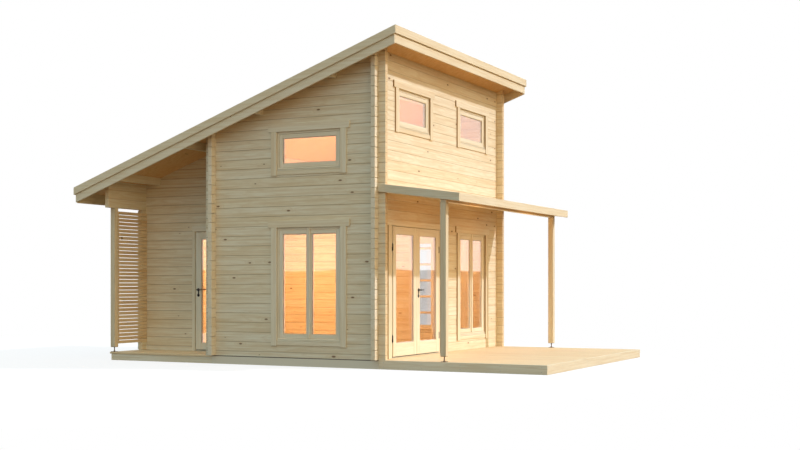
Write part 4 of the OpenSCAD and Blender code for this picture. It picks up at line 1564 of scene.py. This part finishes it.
    def frame(self, name: str, turn: Matrix, width: float, jamb: float) -> None:
        """Builds jambs, head, threshold and stops, with the seal that the leaf closes on.

        Args:
            name: Name of the CAD frame.
            turn: The doorway's place, with its hole from x = 0.
            width: Width of the hole.
            jamb: Width of a jamb.
        """
        piece, seal = Piece(name + "_timber"), Piece(name + "_seal")
        t, sill = self.house.log_t, self.sill_h - self.gap
        head = self.sill_h + self.leaf_h + self.gap
        stop = self.leaf_t + self.gap
        near, far = jamb, width - jamb
        for x in (0, far):
            piece.board((x, 0, 0), (x + jamb, t, self.lintel_z), Along.Z, ARRIS, turn)
        piece.board((near, 0, head), (far, t, self.lintel_z), Along.X, ARRIS, turn)
        piece.board((near, 0, 0), (far, t, sill), Along.X, ARRIS, turn)
        for x in (near, far - self.stop_w):
            piece.board((x, stop, sill), (x + self.stop_w, t, head), Along.Z, turn=turn)
            seal_x = x + self.seal_in
            seal.board((seal_x, stop - self.seal_t, self.sill_h), (seal_x + self.seal_w, stop, head), Along.Z,
                       self.seal_ease, turn)
        low = (near + self.stop_w, stop, head - self.stop_w)
        piece.board(low, (far - self.stop_w, t, head), Along.X, turn=turn)
        piece.finish(self.house, self.finishes["joinery_wood"], Slot.JOINERY, replaced=[name])
        seal.finish(self.house, self.finishes["glazing_rubber"], Slot.IRON)

    def casing(
        self, piece: Piece, turn: Matrix, x0: float, x1: float, side: float, lap: float, over: float
    ) -> None:
        """Nails side boards and a header round a doorway.

        Args:
            piece: The piece that they join.
            turn: The wall's place.
            x0: Start of the hole.
            x1: End of the hole.
            side: Width of a side board.
            lap: How far the side boards lap over the frame.
            over: How far the header runs past the side boards.
        """
        top = self.sill_h + self.leaf_h + self.header_gap
        for x in (x0 + lap - side, x1 - lap):
            piece.board((x, -self.casing_t, 0), (x + side, 0, top), Along.Z, ARRIS, turn)
        middle = Matrix.Translation(((x0 + x1) / 2, 0, 0))
        half = (x1 - x0) / 2 - lap + side + over
        header(piece, half, top, self.header_h, self.header_cut, self.casing_t, turn @ middle)

    def build(self) -> None:
        """Builds both doorways."""
        h, f = self.house, self.finishes
        (x0, _, _), (x1, _, _) = h.box("front_door_frame")
        (_, y0, _), (_, y1, _) = h.box("porch_door_frame")
        self.frame("front_door_frame", Matrix.Translation((x0, 0, 0)), x1 - x0, self.jamb)
        aside = Matrix.Translation((h.porch_w, y0, 0)) @ SIDEWAYS
        self.frame("porch_door_frame", aside, y1 - y0, self.porch_jamb)
        fronts, porches = Piece("front_door_casing_boards"), Piece("porch_door_casing_boards")
        self.casing(fronts, Matrix.Identity(4), x0, x1, self.casing_w, self.casing_lap, self.header_over)
        self.casing(porches, Matrix.Translation((h.porch_w, 0, 0)) @ SIDEWAYS, y0, y1, self.porch_casing_w,
                    self.porch_casing_lap, 0.0)
        fronts.finish(h, f["front_trim"], Slot.TRIM, replaced=["door_casings"])
        porches.finish(h, f["planed_trim"], Slot.TRIM, replaced=["door_casings"])
        seats = Piece("hinge_seat_set")
        for leaf in self.leaves:
            for z in self.hinge_zs:
                self.hinge.half(seats, leaf.turn, z, -1)
            self.timber(leaf)
            self.glazing(leaf)
            self.ironmongery(leaf)
        seats.finish(h, f["black_iron"], Slot.IRON, replaced=["hinge_seats"])


# ---- Canopy, posts, porch screen and other joinery ----


@dataclass
class Canopy:
    """Lean-to canopy over the front doors, from its ledger and beam to its boards and fascias."""

    house: House
    finishes: Finishes
    depth: float = 1.276
    wall_z: float = 2.529
    front_z: float = 2.355
    over: float = 0.035
    fascia_h: float = 0.117
    fascia_t: float = 0.025
    board_t: float = 0.020
    top_drop: float = 0.006
    board_pitch: float = 0.121
    board_gap: float = 0.003
    ledger_w: float = 0.045
    ledger_h: float = 0.095
    beam_inset: float = 0.010
    beam_ease: float = 0.004
    wall_gap: float = 0.002
    post: float = 0.090
    post_y: float = 1.010
    nail_drops: Pair = (0.03, 0.087)
    front_nails: int = 12
    front_nail_in: float = 0.15
    side_nail_ys: tuple[float, ...] = (-1.15, -0.8, -0.45, -0.12)

    def z(self, y: float, drop: float) -> float:
        """Returns the height of a canopy layer that lies drop below its edge, at depth y."""
        return self.wall_z - drop + y * (self.wall_z - self.front_z) / self.depth

    @property
    def beam_z(self) -> float:
        """Underside of the front beam, on the posts."""
        return self.z(-self.depth, self.fascia_h)

    @property
    def under(self) -> float:
        """Drop of the boards' underside, which is the top of the beams."""
        return self.top_drop + self.board_t

    def beams(self) -> None:
        """Fixes the ledger to the wall, and lays the front beam on the posts."""
        h = self.house
        piece = Piece("canopy_beam_timbers")
        back = -self.ledger_w
        ledger = propped(self.z, back, 0, self.z(back, self.ledger_h), self.under)
        start = h.log_t + self.wall_gap
        piece.sheared(ledger, start, h.width - start, Along.X, ARRIS)
        y0, y1 = -self.post_y - self.post / 2, -self.post_y + self.post / 2
        beam = propped(self.z, y0, y1, self.beam_z, self.under)
        piece.sheared(beam, self.beam_inset, h.width - self.beam_inset, Along.X, self.beam_ease)
        piece.finish(h, self.finishes["planed_trim"], Slot.TRIM, replaced=["canopy_beams"])

    def boards(self) -> None:
        """Lays the roof boards down the slope, cut short where the log ends stand."""
        h = self.house
        piece = Piece("canopy_roof_boards")
        inset = self.over - self.fascia_t
        for x0, x1 in spread(-inset, h.width + inset, self.board_pitch, self.board_gap):
            end = -h.log_end - self.wall_gap if x0 < h.log_t or x1 > h.width - h.log_t else 0.0
            outline = sloped(self.z, -self.depth + self.fascia_t, end, self.top_drop, self.under)
            piece.sheared(outline, x0, x1, Along.Y)
        piece.finish(h, self.finishes["lining_boards"], Slot.TRIM, replaced=["canopy_boards"])

    def fascias(self) -> None:
        """Nails a fascia to each side and one to the front."""
        h = self.house
        piece = Piece("canopy_fascia_boards")
        inset = self.over - self.fascia_t
        for x in (-self.over, h.width + inset):
            side = sloped(self.z, -self.depth, 0, 0, self.fascia_h)
            piece.sheared(side, x, x + self.fascia_t, Along.Y, ARRIS)
        piece.board((-inset, -self.depth, self.front_z - self.fascia_h),
                    (h.width + inset, -self.depth + self.fascia_t, self.front_z), Along.X, ARRIS)
        piece.finish(h, self.finishes["canopy_trim"], Slot.TRIM, replaced=["canopy_fascias"])

    def nails(self) -> None:
        """Drives pairs of nails through the fascias."""
        h = self.house
        piece = Piece("canopy_nails")
        for x in evenly(self.front_nail_in, h.width - self.front_nail_in, self.front_nails):
            for drop in self.nail_drops:
                piece.drive(NAIL, (x, -self.depth, self.front_z - drop), Facing.FRONT)
        for y in self.side_nail_ys:
            for drop in self.nail_drops:
                piece.drive(NAIL, (-self.over, y, self.z(y, drop)), Facing.LEFT)
                piece.drive(NAIL, (h.width + self.over, y, self.z(y, drop)), Facing.RIGHT)
        piece.finish(h, self.finishes["zinc_steel"], Slot.ZINC)

    def build(self) -> None:
        """Builds the canopy."""
        self.beams()
        self.boards()
        self.fascias()
        self.nails()


@dataclass
class Posts:
    """Square posts on adjustable steel feet, under the canopy and behind the porch."""

    house: House
    finishes: Finishes
    canopy: Canopy
    foot_h: float = 0.080
    ease: float = 0.005
    plate: float = 0.080
    plate_t: float = 0.005
    plate_ease: float = 0.001
    bolt_in: float = 0.029
    bolt_r: float = 0.006
    bolt_h: float = 0.004
    rod_r: float = 0.009
    rod_sides: int = 16
    nut_r: float = 0.018
    nut_h: float = 0.012
    washer_share: float = 1.1
    washer_h: float = 0.002
    washer_ease: float = 0.0004
    thread: float = 0.004
    thread_depth: float = 0.001
    porch_x: float = 0.030
    plate_log_z: float = 2.320

    def foot(self, piece: Piece, x: float, y: float) -> None:
        """Adds a threaded rod between two screwed plates, with its washer and nut."""
        half, low = self.plate / 2, self.plate_t
        for z in (0, self.foot_h - low):
            piece.board((x - half, y - half, z), (x + half, y + half, z + low), Along.X, self.plate_ease)
        for sx in (-1, 1):
            for sy in (-1, 1):
                at = (x + sx * self.bolt_in, y + sy * self.bolt_in)
                foot, top = (*at, low - self.plate_ease), (*at, low + self.bolt_h)
                piece.rod(foot, top, self.bolt_r, 6, self.plate_ease)
        self.threaded(piece, x, y)
        washer = low + self.washer_h
        piece.rod((x, y, low), (x, y, washer), self.nut_r * self.washer_share, 20, self.washer_ease)
        piece.rod((x, y, washer), (x, y, low + self.nut_h), self.nut_r, 6, self.plate_ease)

    def threaded(self, piece: Piece, x: float, y: float) -> None:
        """Spins the outline of a threaded rod between the two plates."""
        low = self.plate_t
        turns = round((self.foot_h - 2 * low) / self.thread)
        part = bmesh.new()
        line = []
        for k in range(2 * turns + 1):
            radius = self.rod_r - (self.thread_depth if k % 2 else 0.0)
            line.append(part.verts.new((radius, 0, low + k * self.thread / 2)))
        edges = [part.edges.new(pair) for pair in zip(line, line[1:])]
        bmesh.ops.spin(part, geom=line + edges, cent=(0, 0, 0), axis=(0, 0, 1), angle=math.tau,
                       steps=self.rod_sides, use_merge=True)
        rims = [e for e in part.edges if e.is_boundary]
        bmesh.ops.holes_fill(part, edges=rims, sides=0)
        bmesh.ops.recalc_face_normals(part, faces=part.faces)
        piece.add(part, Along.Z, Matrix.Translation((x, y, 0)))

    def build(self) -> None:
        """Builds the posts and their feet."""
        h, f, c = self.house, self.finishes, self.canopy
        posts, feet = Piece("post_timbers"), Piece("post_foot_steel")
        side = c.post
        spots = [(x, -c.post_y - side / 2, c.beam_z) for x in (c.beam_inset, h.width - c.beam_inset - side)]
        spots.append((self.porch_x, h.back_y + (h.log_t - side) / 2, self.plate_log_z))
        for x, y, top in spots:
            posts.board((x, y, self.foot_h), (x + side, y + side, top), Along.Z, self.ease)
            self.foot(feet, x + side / 2, y + side / 2)
        posts.finish(h, f["post_wood"], Slot.TRIM, replaced=["posts"])
        feet.finish(h, f["foot_steel"], Slot.ZINC, replaced=["post_feet"])


@dataclass
class PorchScreen:
    """Slats behind the porch, on an upright batten beside the post."""

    house: House
    finishes: Finishes
    slats: int = 37
    step: float = 0.058
    height: float = 0.0495
    thick: float = 0.018
    batten_w: float = 0.030
    batten_t: float = 0.050
    screw_in: float = 0.015

    def build(self) -> None:
        """Builds the slats, their batten and the screws through them."""
        h, f = self.house, self.finishes
        (x0, y, z0), (x1, _, _) = h.box("porch_screen")
        back = y + self.thick
        screen, screws = Piece("porch_screen_slats"), Piece("porch_screen_screws")
        for k in range(self.slats):
            z = z0 + k * self.step
            screen.board((x0, y, z), (x1, back, z + self.height), Along.X, ARRIS)
            screws.drive(SLAT_SCREW, (x0 + self.screw_in, y, z + self.height / 2), Facing.FRONT)
        top = z0 + (self.slats - 1) * self.step + self.height
        screen.board((x0, back, z0), (x0 + self.batten_w, back + self.batten_t, top), Along.Z, ARRIS)
        screen.finish(h, f["slat_wood"], Slot.TRIM, replaced=["porch_screen"])
        screws.finish(h, f["zinc_steel"], Slot.ZINC)


@dataclass
class Carpentry:
    """Purlins, the boards round the decks, the dark gaskets under the walls, which paint the shadow line at
    their foot, and the ladder.
    """

    house: House
    finishes: Finishes
    purlin_w: float = 0.070
    purlin_h: float = 0.100
    purlin_y0: float = 0.690
    purlin_step: float = 1.275
    purlins: int = 4
    purlin_ease: float = 0.004
    deck_h: float = 0.130
    screw_zs: Pair = (-0.035, -0.095)
    front_screws: int = 9
    front_screw_in: float = 0.06
    side_screws: int = 5
    side_screw_in: float = 0.08
    gasket_t: float = 0.013
    gasket_w: float = 0.060
    gasket_out: float = 0.002
    gasket_ease: float = 0.001
    lip: float = 0.012
    stile_t: float = 0.035
    stile_ease: float = 0.005
    rung_r: float = 0.020
    rung_sides: int = 24
    rung_step: float = 0.290
    rungs: int = 7

    def roof_purlins(self) -> None:
        """Lays the purlins across the gables."""
        h = self.house
        piece = Piece("purlin_timbers")
        end = h.verge - 2 * h.fascia_t
        for k in range(self.purlins):
            y = self.purlin_y0 + k * self.purlin_step
            far = y + self.purlin_w
            outline = propped(h.roof_z, y, far, h.roof_z(far, h.lining_bottom) - self.purlin_h, h.seat)
            piece.sheared(outline, -end, h.width + end, Along.X, self.purlin_ease)
        piece.finish(h, self.finishes["planed_trim"], Slot.TRIM, replaced=["purlins"])

    def edges(self) -> None:
        """Screws the boards round the terrace and under the lip of the porch deck."""
        h, t = self.house, self.house.board_t
        piece, heads = Piece("deck_edge_boards"), Piece("deck_edge_screws")
        low, front = -self.deck_h, h.skin - h.terrace_d
        back = h.depth - 2 * self.lip - t
        for x in (0, h.width - t):
            piece.board((x, front, low), (x + t, 0, 0), Along.Y, ARRIS)
        piece.board((t, front, low), (h.width - t, front + t, 0), Along.X, ARRIS)
        piece.board((self.lip, h.room_d, low), (self.lip + t, back, -t), Along.Y, ARRIS)
        piece.board((self.lip, back, low), (h.porch_w, back + t, -t), Along.X, ARRIS)
        for z in self.screw_zs:
            for x in evenly(self.front_screw_in, h.width - self.front_screw_in, self.front_screws):
                heads.drive(EDGE_SCREW, (x, front, z), Facing.FRONT)
            first = front + self.side_screw_in
            for y in evenly(first, first + h.terrace_d - 2 * self.side_screw_in, self.side_screws):
                heads.drive(EDGE_SCREW, (0.0, y, z), Facing.LEFT)
                heads.drive(EDGE_SCREW, (h.width, y, z), Facing.RIGHT)
        piece.finish(h, self.finishes["edge_board_wood"], Slot.TRIM, replaced=["edge_boards"])
        heads.finish(h, self.finishes["zinc_steel"], Slot.ZINC)

    def gaskets(self) -> None:
        """Lays the strip that keeps the lowest logs off the bearers, dark so that it paints the shadow line at
        the wall's foot.
        """
        h, out, w = self.house, self.gasket_out, self.gasket_w
        low, high = -self.gasket_t, -self.gasket_ease
        piece = Piece("sill_gaskets")
        for x, y1 in ((-out, h.room_d), (h.width - w + out, h.depth)):
            piece.board((x, 0, low), (x + w, y1, high), Along.Y, self.gasket_ease)
        foot = (h.porch_w, h.depth - w + out, low)
        piece.board(foot, (h.width, h.depth + out, high), Along.X, self.gasket_ease)
        piece.finish(h, self.finishes["sill_gasket"], Slot.FELT)

    def ladder(self) -> None:
        """Stands the ladder against the right gable."""
        h = self.house
        (x0, y0, _), (x1, y1, top) = h.box("loft_ladder")
        piece = Piece("loft_ladder_timbers")
        for y in (y0, y1 - self.stile_t):
            piece.board((x0, y, 0), (x1, y + self.stile_t, top), Along.Z, self.stile_ease)
        x, start, end = (x0 + x1) / 2, y0 + self.stile_t / 2, y1 - self.stile_t / 2
        for k in range(1, self.rungs + 1):
            z = k * self.rung_step
            piece.rod((x, start, z), (x, end, z), self.rung_r, self.rung_sides)
        piece.finish(h, self.finishes["planed_trim"], Slot.TRIM, replaced=["loft_ladder"])

    def build(self) -> None:
        """Builds the purlins, the edge boards, the gaskets and the ladder."""
        self.roof_purlins()
        self.edges()
        self.gaskets()
        self.ladder()


@dataclass
class LogEnds:
    """Ends of the logs that cross at the corners, course by course, with eased edges and sawn faces."""

    house: House
    finishes: Finishes
    ease: float = 0.0045
    seam: float = 0.005
    least: float = 0.02
    plate_z: float = 2.320

    def column(self, piece: Piece, x0: float, x1: float, y0: float) -> None:
        """Stacks the ends of a wall that runs along X, up to the roof's lining.

        Args:
            piece: The piece that they join.
            x0: Start of the ends.
            x1: End of the ends.
            y0: Front face of the wall.
        """
        h = self.house
        y1 = y0 + h.log_t
        z = 0.0
        while z < h.roof_z(y1, h.seat):
            top = z + COURSE
            front, back = (min(top - self.seam, h.roof_z(y, h.seat)) for y in (y0, y1))
            if back - z > self.least:
                piece.sheared([(y0, z), (y1, z), (y1, back), (y0, front)], x0, x1, Along.X, self.ease)
            z = top

    def build(self) -> None:
        """Builds the ends at every corner."""
        h = self.house
        piece = Piece("corner_log_ends")
        for y in (0.0, h.cross_y):
            self.column(piece, -h.log_end, 0.0, y)
        self.column(piece, h.width, h.width + h.log_end, 0.0)
        self.column(piece, h.porch_w + h.log_t, h.porch_w + h.log_t + h.log_end, h.cross_y)
        self.column(piece, h.width, h.width + h.log_end, h.back_y)
        x0, x1, z = h.porch_w, h.porch_w + h.log_t, -COURSE / 2
        while z < self.plate_z - self.seam:
            low, high = max(z, 0.0), min(z + COURSE - self.seam, self.plate_z)
            piece.board((x0, h.depth, low), (x1, h.depth + h.log_end, high), Along.Y, self.ease)
            z += COURSE
        piece.finish(h, self.finishes["log_end_wood"], Slot.LOG, replaced=["log_ends"])


# ---- Walls and other parts that keep their CAD shape ----

WALLS_X = (
    "front_wall_left", "front_wall_right", "front_wall_upper", "cross_wall", "back_wall", "back_plate_logs",
)
WALLS_Y = ("left_gable_wall", "right_gable_wall", "porch_wall_front", "porch_wall_back", "porch_wall_upper")


def dress(nodes: dict[str, bpy.types.Object], names: Iterable[str], material: bpy.types.Material) -> None:
    """Gives CAD nodes a finish, leaving their meshes alone."""
    for name in names:
        mesh = nodes[name].data
        if not mesh.materials:
            mesh.materials.append(material)
        for k in range(len(mesh.materials)):
            mesh.materials[k] = material
        log.info("%s: dressed in %s", name, material.name)


# ---- Stage, light and camera ----

WHITE: Rgb = (1.0, 1.0, 1.0)


@dataclass(frozen=True)
class Lamp:
    """Soft warm lamp that doesn't show itself."""

    name: str
    place: Point
    colour: Rgb
    power: float
    size: float = 0.25

    def light(self) -> None:
        """Adds the lamp."""
        glow = bpy.data.lights.new(self.name, "POINT")
        glow.shadow_soft_size = self.size
        glow.energy = self.power
        glow.color = self.colour
        lamp = add_object(self.name, glow)
        lamp.location = self.place
        lamp.visible_camera = lamp.visible_glossy = lamp.visible_transmission = False


@dataclass
class Studio:
    """Camera, sun, lamps in the room and under the canopy, the world's soft light and the plain floor."""

    camera_at: Point = (-17.6915, -9.494, 1.202)
    camera_turn: float = -63.35622
    camera_lens: float = 54.7155
    camera_shift: float = 0.075375
    camera_sensor: float = 36.0
    camera_far: float = 200.0
    sun_from: Point = (0.449, -1.0, 0.822)
    sun_strength: float = 2.4
    sun_colour: Rgb = (0.835, 0.87, 1.0)
    sun_width: float = 1.2
    room_colour: Rgb = (1.0, 0.66, 0.36)
    room_power: float = 56.0
    loft_colour: Rgb = (1.0, 0.60, 0.50)
    loft_power: float = 36.0
    canopy_colour: Rgb = (1.0, 0.50, 0.12)
    canopy_power: float = 3.8
    side_sky: Rgb = (0.57, 0.73, 0.81)
    front_low: Rgb = (2.0, 1.54, 0.92)
    front_high: Rgb = (0.66, 0.48, 0.26)
    ground: Rgb = (0.17, 0.11, 0.065)
    mirror_ground: Rgb = (0.10, 0.06, 0.03)
    front_fade: Pair = (0.62, 0.30)
    side_fade: Pair = (-0.35, -0.90)
    ground_fade: Pair = (-0.02, 0.04)
    behind_fade: Pair = (0.7, 1.1)
    hedge_cycles: float = 30.0
    hedge_h: float = 0.008
    hedge_foot: float = 0.0075
    hedge_fade: Pair = (0.0, 0.0015)
    floor_radius: float = 9.3
    floor_sides: int = 96
    floor_middle: Point = (-2.5, 3.5, 0.0)
    floor_matt: Rgb = (0.25, 0.25, 0.25)
    floor_bounce: Rgb = (0.14, 0.09, 0.055)
    floor_glow: float = 0.80

    def camera(self) -> None:
        """Sets the camera to the left of the house and a little in front of it, level, with a raised view."""
        data = bpy.data.cameras.new("camera")
        data.sensor_width = self.camera_sensor
        data.lens = self.camera_lens
        data.shift_y = self.camera_shift
        data.clip_end = self.camera_far
        camera = add_object("camera", data)
        camera.location = self.camera_at
        camera.rotation_euler = (math.radians(90), 0, math.radians(self.camera_turn))
        bpy.context.scene.camera = camera

    def lamps(self) -> None:
        """Lights the house from the front right, and its room and the canopy with warm lamps."""
        sun = bpy.data.lights.new("key", "SUN")
        sun.energy = self.sun_strength
        sun.color = self.sun_colour
        sun.angle = math.radians(self.sun_width)
        add_object("key", sun).rotation_euler = Vector(self.sun_from).to_track_quat("Z", "Y").to_euler()
        room, loft = (self.room_colour, self.room_power), (self.loft_colour, self.loft_power)
        canopy = (self.canopy_colour, self.canopy_power)
        for lamp in (
            Lamp("room_lamp_left", (-1.6, -0.6, 1.2), *loft),
            Lamp("room_lamp_right", (0.3, -0.3, 1.2), *room),
            Lamp("room_lamp_high", (0.0, 0.0, 2.9), *loft),
            Lamp("room_lamp_back", (0.8, 2.2, 1.5), *room),
            Lamp("canopy_lamp_left", (-1.2, -2.35, 2.15), *canopy),
            Lamp("canopy_lamp_right", (1.0, -2.35, 2.15), *canopy),
        ):
            lamp.light()

    def world(self) -> None:
        """Surrounds the stage with soft light.

        The lens sees white all round. Glass and metal see white above a dark hedge, in front and to the left,
        and white all the way down behind.
        """
        world = bpy.data.worlds.new("studio")
        g = Graph(world)
        x, y, z = g.split(g.node("ShaderNodeTexCoord").outputs["Generated"])
        path = g.node("ShaderNodeLightPath")
        front = g.blend(g.ramp(z, *self.front_fade), self.front_high, self.front_low)
        sky = g.blend(g.ramp(y, *self.side_fade), self.side_sky, front)
        soft = g.blend(g.ramp(z, *self.ground_fade), self.ground, sky)
        behind = g.ramp(g.math("ADD", x, y), *self.behind_fade)
        round_x, round_y = (g.math("MULTIPLY", side, self.hedge_cycles) for side in (x, y))
        hedge = g.math("MULTIPLY_ADD", g.noise(g.combine(round_x, round_y)), self.hedge_h, self.hedge_foot)
        above = g.ramp(g.math("SUBTRACT", z, hedge), *self.hedge_fade)
        mirrored = g.blend(g.math("MAXIMUM", behind, above), self.mirror_ground, WHITE)
        bent = g.math("MAXIMUM", path.outputs["Is Glossy Ray"], path.outputs["Is Transmission Ray"])
        colour = g.blend(bent, soft, mirrored)
        colour = g.blend(path.outputs["Is Camera Ray"], colour, WHITE)
        back = g.node("ShaderNodeBackground", {"Color": colour}).outputs[0]
        g.node("ShaderNodeOutputWorld", {"Surface": back})
        bpy.context.scene.world = world

    def floor(self) -> None:
        """Lays a plain pale floor, which keeps the house's shadow."""
        part = bmesh.new()
        bmesh.ops.create_circle(part, cap_ends=True, segments=self.floor_sides, radius=self.floor_radius,
                                matrix=Matrix.Translation(self.floor_middle))
        data = bpy.data.meshes.new("studio_floor")
        part.to_mesh(data)
        part.free()
        floor = add_object("studio_floor", data)
        g = Graph.material("pale_floor")
        path = g.node("ShaderNodeLightPath")
        seen = g.math("MAXIMUM", path.outputs["Is Camera Ray"], path.outputs["Is Glossy Ray"])
        seen = g.math("MAXIMUM", seen, path.outputs["Is Transmission Ray"])
        bounce = g.node("ShaderNodeBsdfDiffuse", {"Color": (*self.floor_bounce, 1)}).outputs[0]
        matt = g.node("ShaderNodeBsdfDiffuse", {"Color": (*self.floor_matt, 1)}).outputs[0]
        glow = g.node("ShaderNodeEmission", {"Color": (*WHITE, 1), "Strength": self.floor_glow}).outputs[0]
        lit = g.node("ShaderNodeAddShader", {0: matt, 1: glow}).outputs[0]
        mixed = g.node("ShaderNodeMixShader", {0: seen, 1: bounce, 2: lit}).outputs[0]
        data.materials.append(g.surface(mixed))


def main() -> None:
    """Builds the cabin's looks round the frame."""
    logging.basicConfig(level=logging.INFO, format="%(message)s")
    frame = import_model()
    bpy.context.scene.view_settings.view_transform = "Standard"
    studio = Studio()
    studio.camera()
    house = House.from_frame()
    finishes = Finishes(deck_z=house.corner.z)
    nodes = frame["nodes"]
    dress(nodes, WALLS_X, finishes["log_wall_x"])
    dress(nodes, WALLS_Y, finishes["log_wall_y"])
    dress(nodes, ("foundation_frame",), finishes["bearer_wood"])
    dress(nodes, ("roof_panel",), finishes["core_board"])
    LogEnds(house, finishes).build()
    Floors(house, finishes).build()
    Roof(house, finishes).build()
    Windows(house, finishes).build()
    Doors(house, finishes).build()
    canopy = Canopy(house, finishes)
    canopy.build()
    Posts(house, finishes, canopy).build()
    PorchScreen(house, finishes).build()
    Carpentry(house, finishes).build()
    studio.lamps()
    studio.world()
    studio.floor()


if __name__ == "__main__":
    main()
